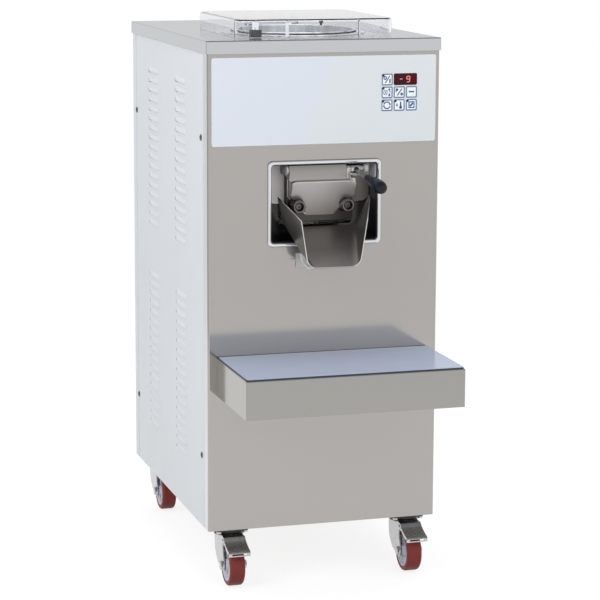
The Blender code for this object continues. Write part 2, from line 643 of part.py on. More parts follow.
def belt_path(extra):
    """The belt's way round both pulleys, at a distance from their rims."""
    big, small = DRIVEN_RADIUS + extra, MOTOR_PULLEY_RADIUS + extra
    lean = math.degrees(math.acos((big - small) / (MOTOR_Y - BARREL_Y)))
    path = arc((0, MOTOR_Y), small, 90 - lean, 90 + lean, 10)
    return path + arc((0, BARREL_Y), big, 90 + lean, 450 - lean, 24)


def belt_drive(agitator_axis, motor_axis):
    """The motor, its small pulley, the belt, and the large pulley on the stirrer's shaft."""
    bore, hub, rim, web = SHAFT_RADIUS + GAP, 32 * MM, DRIVEN_RADIUS - 8 * MM, 8 * MM
    low, high = PULLEY_BOTTOM, PULLEY_TOP
    hub_low, hub_high = low - 2 * MM, high + 2 * MM
    profile = [(bore, hub_high), (hub, hub_high), (hub, high - web), (rim, high - web), (rim, high)]
    profile += [(DRIVEN_RADIUS, high), (DRIVEN_RADIUS, low), (rim, low), (rim, low + web)]
    profile += [(hub, low + web), (hub, hub_low), (bore, hub_low)]
    place = (0, BARREL_Y, 0)
    turned("driven_pulley", profile, CAST_IRON, place, agitator_axis, steps=24, ring=True)
    shaft_low = MOTOR_TOP + GAP
    profile = [(0, high), (MOTOR_PULLEY_RADIUS, high), (MOTOR_PULLEY_RADIUS, low)]
    profile += [(MOTOR_SHAFT_RADIUS, low), (MOTOR_SHAFT_RADIUS, shaft_low), (0, shaft_low)]
    turned("motor_pulley", profile, CAST_IRON, (0, MOTOR_Y, 0), motor_axis, steps=24)
    loops = [belt_path(GAP + BELT_THICKNESS), belt_path(GAP)]
    piece("drive_belt", plate(loops, "XY", low + 2 * MM, high - 2 * MM), RUBBER)
    boss, pedestal, body_low = 30 * MM, 45 * MM, 330 * MM
    profile = [(0, MOTOR_TOP), (boss, MOTOR_TOP), (boss, MOTOR_TOP - 6 * MM)]
    profile += [(MOTOR_RADIUS, MOTOR_TOP - 8 * MM), (MOTOR_RADIUS, body_low)]
    profile += [(pedestal, body_low - 6 * MM), (pedestal, TRAY_FLOOR), (0, TRAY_FLOOR)]
    turned("drive_motor", profile, MACHINE_PAINT, (0, MOTOR_Y, 0), steps=24)


def refrigeration(fan_axis):
    """The compressor, the condenser with its fan motor, and the fan."""
    radius, top, waist = COMPRESSOR_RADIUS, 345 * MM, 165 * MM
    profile = [(0, top), (0.5 * radius, top - 3 * MM), (0.82 * radius, top - 20 * MM)]
    profile += [(radius, top - 50 * MM), (radius, waist), (0.88 * radius, waist - 30 * MM)]
    profile += [(0.82 * radius, TRAY_FLOOR), (0, TRAY_FLOOR)]
    turned("compressor", profile, MACHINE_PAINT, (COMPRESSOR_X, COMPRESSOR_Y, 0), steps=24)
    condenser = piece("condenser", box(CONDENSER_LOW, CONDENSER_HIGH), ALUMINIUM)
    foot, margin = 20 * MM, 2 * MM
    for near in (CONDENSER_LOW.y + foot, CONDENSER_HIGH.y - 2 * foot):
        low = (CONDENSER_LOW.x + margin, near, TRAY_FLOOR)
        high = (CONDENSER_HIGH.x - margin, near + foot, CONDENSER_LOW.z + margin)
        join(condenser, box(low, high))
    ahead = Vector((12 * MM, 0, 0))
    inward = Vector((CONDENSER_LOW.x + margin - FAN_CENTRE.x, 0, 0))
    join(condenser, rod(FAN_CENTRE + ahead, FAN_CENTRE + inward, FAN_HUB_RADIUS - 6 * MM))
    hub_half = Vector((11 * MM, 0, 0))
    hub = rod(FAN_CENTRE - hub_half, FAN_CENTRE + hub_half, FAN_HUB_RADIUS)
    fan = piece("condenser_fan", hub, ALUMINIUM, fan_axis)
    blade_half, blade_thick = 20 * MM, 1.25 * MM
    for index in range(FAN_BLADES):
        blade = box((-blade_thick, -blade_half, 20 * MM), (blade_thick, blade_half, FAN_RADIUS))
        pitch = Matrix.Rotation(math.radians(FAN_PITCH), 4, "Z")
        around = Matrix.Rotation(2 * math.pi * index / FAN_BLADES, 4, "X")
        join(fan, moved(blade, Matrix.Translation(FAN_CENTRE) @ around @ pitch))


# Outlet hatch and chute


def outlet_hatch(axis):
    """The hatch casting, which hangs on a cross shaft, and the seal round the outlet's mouth."""
    beak_y, beak_z, roof_y, roof_z = -4 * MM, 783 * MM, 16 * MM, 801 * MM
    tongue_half, tongue_z, shoulder, shoulder_z = 21 * MM, 712 * MM, 70 * MM, 758.5 * MM
    side = HATCH_HALF_WIDTH - 2 * MM
    root = HATCH_FRONT_Y + 3 * MM
    section = [(root, tongue_z - 0.5 * MM), (beak_y, beak_z), (roof_y, roof_z), (root, roof_z)]
    hatch = piece("outlet_door", plate([section], "YZ", -side, side), CAST_STEEL, axis)
    above = roof_z + 50 * MM
    right = [(tongue_half, tongue_z), (shoulder, shoulder_z), (shoulder, above)]
    left = [(-x, z) for x, z in reversed(right)]
    boolean(hatch, "INTERSECT", plate([right + left], "XZ", -50 * MM, 50 * MM))
    corner = (HATCH_HALF_WIDTH - HATCH_CORNER, HATCH_BOTTOM + HATCH_CORNER)
    right = arc(corner, HATCH_CORNER, -90, 0, 4) + [(HATCH_HALF_WIDTH, HATCH_TOP)]
    left = [(-x, z) for x, z in reversed(right)]
    join(hatch, plate([right + left], "XZ", HATCH_FRONT_Y, HATCH_BACK_Y))
    barrel_left, barrel_right, web = -70 * MM, 44 * MM, 7.5 * MM
    join(hatch, cross_rod(HATCH_AXIS, barrel_left, barrel_right, HATCH_BARREL_RADIUS))
    inset = 0.5 * MM
    low = (barrel_left + inset, HATCH_AXIS.y - web, HATCH_TOP - 5 * MM)
    join(hatch, box(low, (barrel_right - inset, HATCH_AXIS.y + web, HATCH_AXIS.z)))
    lever_room = (barrel_right + 2.5 * MM, beak_y + 1 * MM, beak_z + 6 * MM)
    cut(hatch, box(lever_room, (2 * HATCH_HALF_WIDTH, HATCH_FRONT_Y - inset, above)))
    for x in (-BOSS_X, BOSS_X):
        join(hatch, rod((x, 0, BOSS_Z), (x, HATCH_FRONT_Y + 5 * MM, BOSS_Z), BOSS_RADIUS))
        cut(hatch, rod((x, -5 * MM, BOSS_Z), (x, 16 * MM, BOSS_Z), BOSS_HOLE, 16))
    cut(hatch, cross_rod(HATCH_AXIS, -90 * MM, 60 * MM, HATCH_SHAFT_RADIUS + GAP))
    middle = (0, (PORT_BOTTOM + PORT_TOP) / 2)
    width, height = PORT_WIDTH + 3 * MM, PORT_TOP - PORT_BOTTOM + 3 * MM
    inner = rounded_rectangle(middle, width, height, HATCH_CORNER - SEAL_WIDTH)
    outer = rounded_rectangle(middle, width + 2 * SEAL_WIDTH, height + 2 * SEAL_WIDTH, HATCH_CORNER)
    seal = plate([outer, inner], "XZ", HATCH_BACK_Y + GAP, OUTLET_FACE_Y - GAP)
    piece("door_seal", seal, RUBBER, axis)


def hatch_lever(axis):
    """The cross shaft with the lever's hub and arm on it, and the lever's knob."""
    shaft = cross_rod(HATCH_AXIS, -83.5 * MM, 87.5 * MM, HATCH_SHAFT_RADIUS, 20)
    lever = piece("hatch_lever", shaft, CAST_STEEL, axis)
    hub_half = 9 * MM
    join(lever, cross_rod(HATCH_AXIS, LEVER_X - hub_half, LEVER_X + hub_half, HATCH_BARREL_RADIUS))
    root = HATCH_AXIS + Vector((LEVER_X, 0, 0))
    join(lever, rod(root, root + LEVER_RUN * LEVER_ARM_LENGTH, HATCH_SHAFT_RADIUS, 16))
    # Each row of the knob is its height and radius as shares of its length and greatest radius.
    shares = ((1, 0), (0.99, 0.42), (0.95, 0.76), (0.86, 0.97), (0.76, 1), (0.6, 0.92), (0.4, 0.76))
    shares += ((0.18, 0.6), (0.04, 0.52), (0, 0.46), (0, 0))
    profile = [(KNOB_RADIUS * wide, KNOB_LENGTH * along) for along, wide in shares]
    start = root + LEVER_RUN * (LEVER_ARM_LENGTH + GAP)
    turned("lever_knob", profile, KNOB_PLASTIC, start, axis, axis=LEVER_RUN, steps=24)


def chute_section(y, floor_z, floor_half, top_z, top_half):
    """One upright section of the chute: down the left wall, across the floor and up the right wall."""
    lean = math.degrees(math.atan2(top_half - floor_half, top_z - floor_z))
    corner = (floor_half - CHUTE_CORNER * math.tan(math.radians(45 - lean / 2)), floor_z + CHUTE_CORNER)
    right = arc(corner, CHUTE_CORNER, -90, -lean) + [(top_half, top_z)]
    left = [(-x, z) for x, z in reversed(right)]
    return [Vector((x, y, z)) for x, z in left + right]


def chute():
    """A sheet trough, lofted from the narrow lip in front to its wide end under the outlet."""
    lip_y, rear_y, lip_z, rear_z = -67 * MM, 30 * MM, 627 * MM, 692 * MM
    lip_half, rear_half = 51.5 * MM, 70 * MM
    # Each row gives one section's distance from the panel, its walls' top and half its top width.
    tops = ((lip_y, 718 * MM, 65 * MM), (0, 755 * MM, 92 * MM), (16 * MM, 726 * MM, 83 * MM))
    tops += ((rear_y, 710 * MM, 77 * MM),)
    shape = bmesh.new()
    rows = []
    for y, top_z, top_half in tops:
        along = (y - lip_y) / (rear_y - lip_y)
        floor_z = lip_z + along * (rear_z - lip_z)
        floor_half = lip_half + along * (rear_half - lip_half)
        section = chute_section(y, floor_z, floor_half, top_z, top_half)
        rows.append([shape.verts.new(point) for point in section])
    for near, far in zip(rows, rows[1:]):
        for i in range(len(near) - 1):
            shape.faces.new((near[i], near[i + 1], far[i + 1], far[i]))
    face_away(shape, (0, 0, 750 * MM))
    trough = piece("chute", mesh_of(shape), CAST_STEEL)
    thicken(trough, CHUTE_SHEET)


def chute_bracket():
    """The plate under the recess whose two arms the chute rests on."""
    half, low, high, thick = 57 * MM, 618 * MM, 648 * MM, 2 * MM
    bracket = piece("chute_bracket", box((-half, -GAP - thick, low), (half, -GAP, high)), STAINLESS)
    arm_x, arm_radius = 44 * MM, 4 * MM
    for x in (-arm_x, arm_x):
        start, end = (x, -GAP - thick / 2, 641 * MM), (x, -56 * MM, 627 * MM)
        join(bracket, rod(start, end, arm_radius, 16))


# Lid


def lid_outline():
    half = LID_WIDTH / 2 - LID_CORNER
    front, rear = LID_FRONT_Y + LID_CORNER, LID_REAR_Y - LID_CORNER
    slope = 3 * MM
    left, right = SPOUT_X - SPOUT_WIDTH / 2, SPOUT_X + SPOUT_WIDTH / 2
    path = arc((half, rear), LID_CORNER, 0, 90) + arc((-half, rear), LID_CORNER, 90, 180)
    path += arc((-half, front), LID_CORNER, 180, 270)
    path += [(left, LID_FRONT_Y), (left + slope, LID_FRONT_Y - SPOUT_STEP)]
    path += [(right - slope, LID_FRONT_Y - SPOUT_STEP), (right, LID_FRONT_Y)]
    return path + arc((half, front), LID_CORNER, 270, 360)


def lid(axis):
    """The clear lid with its pouring slot and hinge knuckles, and the magnet block inside it."""
    base = CABINET_TOP + LID_LIFT
    middle = (0, (LID_FRONT_Y + LID_REAR_Y) / 2)
    cover_mesh = wall(lid_outline(), base, LID_TOP, middle, closed=True)
    cover = piece("lid_cover", cover_mesh, CLEAR_PLASTIC, axis)
    thicken(cover, LID_WALL)
    knuckle_x, knuckle_half = 45 * MM, 4 * MM
    centre = (LID_AXIS.y, LID_AXIS.z)
    root, radius = LID_REAR_Y - LID_WALL / 2, LID_KNUCKLE_RADIUS
    knuckle = arc(centre, radius, -90, 90)
    knuckle += [(root, centre[1] + radius), (root, centre[1] - radius)]
    for x in (-knuckle_x, knuckle_x):
        join(cover, plate([knuckle], "YZ", x - knuckle_half, x + knuckle_half))
    reach = knuckle_x + 4 * knuckle_half
    cut(cover, cross_rod(LID_AXIS, -reach, reach, LID_PIN_RADIUS + GAP))
    slot_half = SPOUT_WIDTH / 2 - 8 * MM
    low = (SPOUT_X - slot_half, LID_FRONT_Y - 3 * SPOUT_STEP, base - 5 * MM)
    cut(cover, box(low, (SPOUT_X + slot_half, LID_FRONT_Y + 2 * SPOUT_STEP, base + SPOUT_SLOT)))
    magnet_low = Vector((-130 * MM, LID_FRONT_Y + LID_WALL + GAP, base + 1 * MM))
    magnet = box(magnet_low, magnet_low + Vector((21, 14, 14)) * MM)
    piece("lid_magnet", magnet, BLACK_PLASTIC, axis)


def lid_hinge():
    """The hinge bracket on the top cover, and its pin."""
    half, front, back = 60 * MM, LID_REAR_Y + 3.5 * MM, LID_REAR_Y + 32 * MM
    low, high = CABINET_TOP + GAP, CABINET_TOP + GAP + 2 * MM
    bracket = piece("lid_hinge_bracket", box((-half, front, low), (half, back, high)), POLISHED)
    centre = (LID_AXIS.y, LID_AXIS.z)
    radius, ear_low, ear_inner, ear_outer = 6 * MM, low + 1 * MM, 52 * MM, 57 * MM
    ear = arc(centre, radius, 0, 180) + [(centre[0] - radius, ear_low), (centre[0] + radius, ear_low)]
    for left, right in ((-ear_outer, -ear_inner), (ear_inner, ear_outer)):
        join(bracket, plate([ear], "YZ", left, right))
    cut(bracket, cross_rod(LID_AXIS, -half, half, LID_PIN_RADIUS + GAP))
    pin = cross_rod(LID_AXIS, -half + 1 * MM, half - 1 * MM, LID_PIN_RADIUS, 16)
    piece("lid_hinge_pin", pin, POLISHED)


# Castors


def castor_plate(corner, at):
    """The bolted top plate with its raceway, and the kingpin that the fork hangs on."""
    half = CASTOR_PLATE / 2
    low, high = PANEL_BOTTOM - CASTOR_PLATE_THICKNESS, PANEL_BOTTOM
    up = Vector((0, 0, 1))
    flat = box(at + Vector((-half, -half, low)), at + Vector((half, half, high)))
    top = piece("castor_plate_" + corner, flat, ZINC)
    raceway_low, head_low = CROWN_TOP + GAP, CROWN_BOTTOM - 6.5 * MM
    join(top, rod(at + up * raceway_low, at + up * (low + 1 * MM), RACEWAY_RADIUS))
    join(top, rod(at + up * (head_low + 1 * MM), at + up * (low + 2 * MM), KINGPIN_RADIUS, 16))
    join(top, rod(at + up * head_low, at + up * (CROWN_BOTTOM - 0.5 * MM), 2 * KINGPIN_RADIUS, 16))


def fork_outline():
    """One fork leg seen from the side, about the swivel axis: (Y, Z) points."""
    axle = (-CASTOR_TRAIL, WHEEL_RADIUS)
    rear = [(27, 98.5), (28, 80), (23, 56), (4, 37)]
    front = [(-41, 52), (-31, 82), (-42.5, 86), (-42.5, 97), (-24, 98.5)]
    tip = arc(axle, 11 * MM, -60, -190, 4)
    return [(y * MM, z * MM) for y, z in rear] + tip + [(y * MM, z * MM) for y, z in front]


def castor_fork(corner, swivel, has_brake):
    """The swivelling crown with its two legs, and the axle bolt through them."""
    at = swivel.location.copy()
    up = Vector((0, 0, 1))
    crown = rod(at + up * CROWN_BOTTOM, at + up * CROWN_TOP, RACEWAY_RADIUS + 1 * MM)
    fork = piece("castor_fork_" + corner, crown, ZINC, swivel)
    outline = [(at.y + y, z) for y, z in fork_outline()]
    for side in (-1, 1):
        outer, inner = side * FORK_HALF_WIDTH, side * (FORK_HALF_WIDTH - FORK_SHEET)
        low, high = sorted((at.x + outer, at.x + inner))
        join(fork, plate([outline], "YZ", low, high))
    axle = at + Vector((0, -CASTOR_TRAIL, WHEEL_RADIUS))
    bolt_half, head, head_start = FORK_HALF_WIDTH + 5 * MM, 9 * MM, FORK_HALF_WIDTH - 1 * MM
    join(fork, cross_rod(axle, axle.x - bolt_half + 1 * MM, axle.x + bolt_half - 1 * MM, AXLE_RADIUS, 16))
    for side in (-1, 1):
        left, right = sorted((axle.x + side * head_start, axle.x + side * bolt_half))
        join(fork, cross_rod(axle, left, right, head, 6))
    if has_brake:
        half = FORK_HALF_WIDTH - FORK_SHEET / 2
        pin = at + PEDAL_PIVOT
        join(fork, cross_rod(pin, pin.x - half, pin.x + half, PEDAL_PIN_RADIUS, 16))
    cut(fork, rod(at, at + up * PANEL_BOTTOM, KINGPIN_RADIUS + GAP, 16))


def castor_wheel(corner, axle):
    """The hub and the tyre on it, both turned about the axle."""
    bore, boss, web, rim = AXLE_RADIUS + GAP, 12 * MM, 6 * MM, 26 * MM
    boss_half, rim_half = WHEEL_WIDTH / 2 + 1.5 * MM, WHEEL_WIDTH / 2 - 0.5 * MM
    right = [(boss, boss_half), (boss, web), (rim, web), (rim, rim_half), (RIM_RADIUS, rim_half)]
    left = [(radius, -height) for radius, height in reversed(right)]
    profile = [(bore, boss_half)] + right + left + [(bore, -boss_half)]
    place = axle.location
    across = (1, 0, 0)
    turned("wheel_hub_" + corner, profile, HUB_PLASTIC, place, axle, across, steps=24, ring=True)
    inner, half, shoulder, step = RIM_RADIUS + GAP, WHEEL_WIDTH / 2, 37.5 * MM, 4 * MM
    right = [(shoulder, half), (WHEEL_RADIUS, half - step)]
    left = [(radius, -height) for radius, height in reversed(right)]
    profile = [(inner, half)] + right + left + [(inner, -half)]
    turned("wheel_tyre_" + corner, profile, RED_TYRE, place, axle, across, steps=32, ring=True)


def brake_pedal(corner, pedal_pivot):
    """The pressed pedal: a barrel on the fork's pin, and a sloping tread plate that ends in a lip."""
    at = pedal_pivot.location
    barrel_half, barrel = 17.5 * MM, 6 * MM
    pedal_mesh = cross_rod(at, at.x - barrel_half, at.x + barrel_half, barrel, 16)
    pedal = piece("brake_pedal_" + corner, pedal_mesh, ZINC, pedal_pivot)
    web = [(-2, -2.5), (-2, 2.5), (-13, 3.2), (-13, -1.2)]
    tread = [(-8.2, 3.4), (-42, -14), (-48, -20.5), (-46.5, -22.5), (-39.5, -16), (-8.2, -0.2)]
    web_half = barrel_half - 0.5 * MM
    for outline, half in ((web, web_half), (tread, PEDAL_HALF_WIDTH)):
        points = [(at.y + y * MM, at.z + z * MM) for y, z in outline]
        join(pedal, plate([points], "YZ", at.x - half, at.x + half))
    cut(pedal, cross_rod(at, at.x - 2 * barrel_half, at.x + 2 * barrel_half, PEDAL_PIN_RADIUS + GAP, 16))


def castors():
    for corner, (side, y, has_brake) in CASTORS.items():
        swivel_at = Vector((side * CASTOR_X, y, 0))
        swivel = pivot("swivel_" + corner, swivel_at)
        axle = pivot("axle_" + corner, swivel_at + Vector((0, -CASTOR_TRAIL, WHEEL_RADIUS)))
        castor_plate(corner, swivel_at)
        castor_fork(corner, swivel, has_brake)
        castor_wheel(corner, axle)
        if has_brake:
            brake_pedal(corner, pivot("pedal_pivot_" + corner, swivel_at + PEDAL_PIVOT))


def main():
    base_tray()
    machine_deck()
    front_panel()
    side_panel("left_side_panel", -1)
    side_panel("right_side_panel", 1)
    rear_panel()
    top_cover()
    cable_gland()
    control_overlay()
    keys()
    keypad_board()
    recess_liner()
    recess_trim()
    shelf()
    freezing_cylinder()
    agitator_axis = pivot("agitator_axis", (0, BARREL_Y, BARREL_FLOOR))
    motor_axis = pivot("motor_axis", (0, MOTOR_Y, PULLEY_BOTTOM))
    agitator(agitator_axis)
    bearing_housing()
    belt_drive(agitator_axis, motor_axis)
    refrigeration(pivot("fan_axis", FAN_CENTRE))
    hatch_axis = pivot("hatch_axis", HATCH_AXIS)
    outlet_hatch(hatch_axis)
    hatch_lever(hatch_axis)
    chute()
    chute_bracket()
    lid(pivot("lid_axis", LID_AXIS))
    lid_hinge()
    castors()


main()
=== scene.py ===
"""Looks of an upright batch freezer on castors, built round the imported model.

Shapes are worked out in millimetres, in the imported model's frame with +Z up, and become metres as each
piece is made. A piece rides on a body and stands for one of its nodes. The parts hidden inside the
cabinet keep their shape and get a finish.
"""

import json
import math

import bmesh
import bpy
from mathutils import Matrix, Vector

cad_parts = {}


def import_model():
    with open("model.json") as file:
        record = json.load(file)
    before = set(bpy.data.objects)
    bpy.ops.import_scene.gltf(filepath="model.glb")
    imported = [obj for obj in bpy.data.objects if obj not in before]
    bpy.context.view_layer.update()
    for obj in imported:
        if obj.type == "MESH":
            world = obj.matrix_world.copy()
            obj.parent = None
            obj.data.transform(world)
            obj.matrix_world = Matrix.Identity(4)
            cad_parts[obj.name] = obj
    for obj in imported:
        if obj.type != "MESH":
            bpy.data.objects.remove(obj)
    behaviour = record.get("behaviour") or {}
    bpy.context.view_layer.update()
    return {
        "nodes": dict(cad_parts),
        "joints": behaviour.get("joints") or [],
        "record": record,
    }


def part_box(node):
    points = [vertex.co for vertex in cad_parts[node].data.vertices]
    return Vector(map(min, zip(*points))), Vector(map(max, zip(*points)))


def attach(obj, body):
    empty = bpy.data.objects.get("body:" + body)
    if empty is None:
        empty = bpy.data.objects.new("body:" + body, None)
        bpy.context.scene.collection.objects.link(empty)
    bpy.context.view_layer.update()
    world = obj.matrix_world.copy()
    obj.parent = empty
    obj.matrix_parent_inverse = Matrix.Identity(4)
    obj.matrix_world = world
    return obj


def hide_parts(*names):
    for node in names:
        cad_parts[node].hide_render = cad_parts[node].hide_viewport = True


MM = 0.001
WELD = 0.002

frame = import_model()
NODES = frame["nodes"]
BODY_OF = {node: body for body, nodes in frame["record"]["behaviour"]["bodies"].items() for node in nodes}
PIVOT = {joint["name"]: Vector(joint["pos_m"]) / MM for joint in frame["joints"] if "pos_m" in joint}
CORNERS = ("fl", "fr", "rl", "rr")
X, Y, Z = Vector((1, 0, 0)), Vector((0, 1, 0)), Vector((0, 0, 1))
PLANES = {"XY": (X, Y, Z), "XZ": (X, Z, Y), "YZ": (Y, Z, X)}


class Box:
    """A node's box at rest, in millimetres."""

    def __init__(self, node):
        self.low, self.high = (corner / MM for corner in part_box(node))
        self.middle = (self.low + self.high) / 2
        self.size = self.high - self.low


FRONT = Box("front_panel").low.y

# Sheet metal
SHEET, FOLD_RADIUS, PRESSED_EDGE, SEAM = 1.5, 4, 2.5, 2.5
LOUVRE_LENGTH, LOUVRE_HEIGHT, LOUVRE_RISE = 84, 9, 2.4
LOUVRE_PITCH, LOUVRE_ROWS, LOUVRE_SHEET = 19.7, 17, 0.9
LOUVRE_COLUMNS, LOUVRE_TOPS = (211, 444), (964, 539)
# The slit behind each hood, about its middle: it shows under the lip, and runs past the hood's rear end.
LOUVRE_SLIT = ((-39, 3), (39, 3), (47, -1.5), (47, -6.4), (30, -6.8), (24, -5.5), (-39, -5.1))
SIDE_SCREWS, SIDE_SCREW_RADIUS = [(y, z) for y in (48, 602) for z in (868, 251)], 6.5

# Hatch: the flange's face, the step from there to the tongue, and the two bosses, in X and Z
HATCH_FACE, HATCH_STEP = FRONT + 28, 2.6
BOSSES, BOSS_RADIUS = ((-49, 735), (49, 735)), 11.6

# Camera, fitted to the photograph's 600 pixel square frame, in metres and degrees
CAMERA_PLACE = Vector((-1.2688, -4.3056, 1.3391))
CAMERA_YAW, CAMERA_PITCH, CAMERA_ROLL = 16.651, -9.661, 0.235
FRAME_PIXELS, FOCAL_PIXELS, SENSOR = 600, 2261.05, 36.0
CAMERA_SHIFT = -0.05

# The room that shiny parts mirror: for each axis, its direction from -1 to 1 and the light there
ROOM = {
    "Z": ((-1.0, 1.0), (0.12, 1.0), (0.55, 0.42), (1.0, 0.20)),
    "Y": ((-1.0, 1.0), (0.2, 1.0), (1.0, 0.90)),
    "X": ((-1.0, 0.60), (-0.45, 1.0), (1.0, 1.0)),
}


# Finishes


class Nodes:
    """The node tree of a material or a world, and short calls that add to it."""

    def __init__(self, owner):
        owner.use_nodes = True
        self.tree = owner.node_tree

    def feed(self, socket, source):
        """Links an output to a socket, or sets a constant there."""
        if isinstance(source, bpy.types.NodeSocket):
            self.tree.links.new(source, socket)
        else:
            socket.default_value = source

    def fill(self, node, **inputs):
        for name, source in inputs.items():
            self.feed(node.inputs[name.replace("_", " ")], source)
        return node

    def node(self, kind, **inputs):
        return self.fill(self.tree.nodes.new("ShaderNode" + kind), **inputs)

    def calculate(self, operation, *sources):
        made = self.node("Math")
        made.operation = operation
        for socket, source in zip(made.inputs, sources):
            self.feed(socket, source)
        return made.outputs["Value"]

    def mix(self, share, *shaders):
        made = self.node("MixShader", Fac=share)
        for socket, shader in zip(made.inputs[1:], shaders):
            self.feed(socket, shader)
        return made.outputs["Shader"]

    def ramp(self, factor, stops):
        """A colour that runs through stops, each a place from 0 to 1 and a colour, as a factor rises."""
        made = self.node("ValToRGB", Fac=factor)
        elements = made.color_ramp.elements
        while len(elements) < len(stops):
            elements.new(0.5)
        for element, (place, colour) in zip(elements, stops):
            element.position = place
            element.color = (*colour, 1.0)
        return made.outputs["Color"]

    def seen_directly(self):
        """One for rays from the camera, reflections and clear parts, and none for the rest."""
        rays = self.node("LightPath").outputs
        reflected = self.calculate("MAXIMUM", rays["Is Camera Ray"], rays["Is Glossy Ray"])
        return self.calculate("MAXIMUM", reflected, rays["Is Transmission Ray"])


class Finish(Nodes):
    """A Principled material, and short calls that drive its sockets from procedural textures."""

    def __init__(self, name, colour, roughness, metallic=0.0, **sockets):
        self.material = bpy.data.materials.new(name)
        super().__init__(self.material)
        self.shader = self.tree.nodes["Principled BSDF"]
        self.colour, self.roughness = colour, roughness
        self.set(Base_Color=(*colour, 1.0), Roughness=roughness, Metallic=metallic, **sockets)

    def set(self, **sockets):
        self.fill(self.shader, **sockets)

    def show(self, surface):
        self.feed(self.tree.nodes["Material Output"].inputs["Surface"], surface)

    def texture(self, kind, stretch, turn=(0, 0, 0), shift=(0, 0, 0), **inputs):
        """A texture in the piece's own coordinates, in cells per metre along all axes or along each."""
        stretch = stretch if isinstance(stretch, tuple) else (stretch,) * 3
        place = self.node("TexCoord").outputs["Object"]
        place = self.node("Mapping", Vector=place, Scale=stretch, Rotation=turn, Location=shift)
        return self.node(kind, Vector=place.outputs["Vector"], **inputs).outputs

    def noise(self, stretch, detail):
        return self.texture("TexNoise", stretch, Scale=1.0, Detail=detail)["Fac"]

    def shades(self, factor, *stops):
        """Runs the base colour through multiples of itself, each at a place from 0 to 1."""
        colours = [(place, [share * channel for channel in self.colour]) for place, share in stops]
        self.set(Base_Color=self.ramp(factor, colours))

    def tint(self, factor, low, high):
        self.shades(factor, (0.25, low), (0.75, high))

    def roughen(self, factor, spread):
        """Runs the roughness from a spread below its own value to a spread above it."""
        low, high = self.roughness - spread, self.roughness + spread
        span = self.node("MapRange", Value=factor, From_Min=0.25, From_Max=0.75, To_Min=low, To_Max=high)
        self.set(Roughness=span.outputs["Result"])

    def bump(self, factor, depth, strength):
        """Raises the surface by up to a depth in millimetres."""
        raised = self.node("Bump", Height=factor, Strength=strength, Distance=depth * MM)
        self.set(Normal=raised.outputs["Normal"])


def brushed(name, colour, roughness, stretch, metallic=1.0, spread=0.04):
    """Brushed sheet: fine lines along the axis whose stretch is small."""
    finish = Finish(name, colour, roughness, metallic)
    lines = finish.noise(stretch, 4.0)
    finish.tint(lines, 0.98, 1.02)
    finish.roughen(lines, spread)
    finish.bump(lines, 0.004, 0.3)
    return finish


def mottled(name, colour, roughness, metallic, cells, depth, contrast=0.05, spread=0.05, **sockets):
    """A moulded, painted or cast surface with a fine even grain."""
    finish = Finish(name, colour, roughness, metallic, **sockets)
    grain = finish.noise(cells, 2.0)
    finish.tint(finish.noise(cells / 30, 3.0), 1 - contrast, 1 + contrast)
    finish.roughen(grain, spread)
    finish.bump(grain, depth, 0.5)
    return finish


def streaked_steel():
    """Half-matt steel whose colour runs through paler and darker upright streaks."""
    finish = Finish("barrel_steel", (0.80, 0.81, 0.82), 0.30, 0.5)
    streaks = finish.noise((45, 45, 3), 3.0)
    finish.tint(streaks, 0.55, 1.1)
    finish.roughen(streaks, 0.1)
    finish.bump(finish.noise(300, 2.0), 0.01, 0.3)
    return finish


def shaded_trough_steel():
    """Brushed sheet with painted shade: paler at the lip and at the walls' tops, darker across the heights
    between, up to the throat under the hatch.
    """
    finish = brushed("chute_steel_painted_shade", (0.34, 0.316, 0.298), 0.32, (2200, 8, 8), 0.82)
    # Painted shade: the base colour runs with height above the lip, darkest across the throat's heights.
    lip, depth = 620 * MM, 100 * MM
    upright, shift = (0, math.radians(90), 0), (-lip / depth, 0, 0)
    height = finish.texture("TexGradient", 1 / depth, upright, shift)["Fac"]
    finish.shades(height, (0.08, 1.12), (0.36, 0.66), (0.66, 0.62), (0.95, 1.1))
    return finish


def zinc_plated():
    finish = Finish("zinc", (0.56, 0.56, 0.57), 0.28, 1.0)
    finish.tint(finish.texture("TexVoronoi", 220, Scale=1.0)["Color"], 0.93, 1.04)
    finish.roughen(finish.noise(90, 4.0), 0.08)
    finish.bump(finish.noise(700, 2.0), 0.01, 0.4)
    return finish


def clear_acrylic():
    """Clear plastic. Light from lamps and from matt parts passes straight through it."""
    clear = {"Transmission_Weight": 1.0, "IOR": 1.45, "Specular_IOR_Level": 0.22}
    finish = Finish("clear_plastic", (0.955, 0.965, 0.985), 0.019, **clear)
    finish.roughen(finish.noise(60, 4.0), 0.011)
    rays = finish.node("LightPath").outputs
    passes = finish.calculate("MAXIMUM", rays["Is Shadow Ray"], rays["Is Diffuse Ray"])
    window = finish.node("BsdfTransparent", Color=(0.93, 0.94, 0.96, 1.0))
    finish.show(finish.mix(passes, finish.shader.outputs["BSDF"], window.outputs["BSDF"]))
    return finish


def overlay_film():
    """Glossy printed film, with a painted reflection: paler and bluer on the left of a slanted line."""
    finish = Finish("overlay_film", (0.73, 0.77, 0.79), 0.135)
    cells, lean, line = 80, math.radians(-20.1), -334.8 * MM
    painted_reflection = finish.texture("TexGradient", cells, (0, lean, 0), (0.5 - cells * line, 0, 0))["Fac"]
    finish.set(Base_Color=finish.ramp(painted_reflection, [(0, (0.73, 0.765, 0.845)), (1, finish.colour)]))
    finish.roughen(finish.noise(900, 2.0), 0.035)
    return finish


def lit_digits():
    light = {"Emission_Color": (1.0, 0.22, 0.22, 1.0), "Emission_Strength": 0.95}
    finish = Finish("display_digits", (0.10, 0.01, 0.01), 0.4, **light)
    finish.roughen(finish.noise(400, 1.0), 0.05)
    return finish


def ink(name, colour):
    return mottled(name, colour, 0.35, 0.0, 1500, 0.002, 0.06)


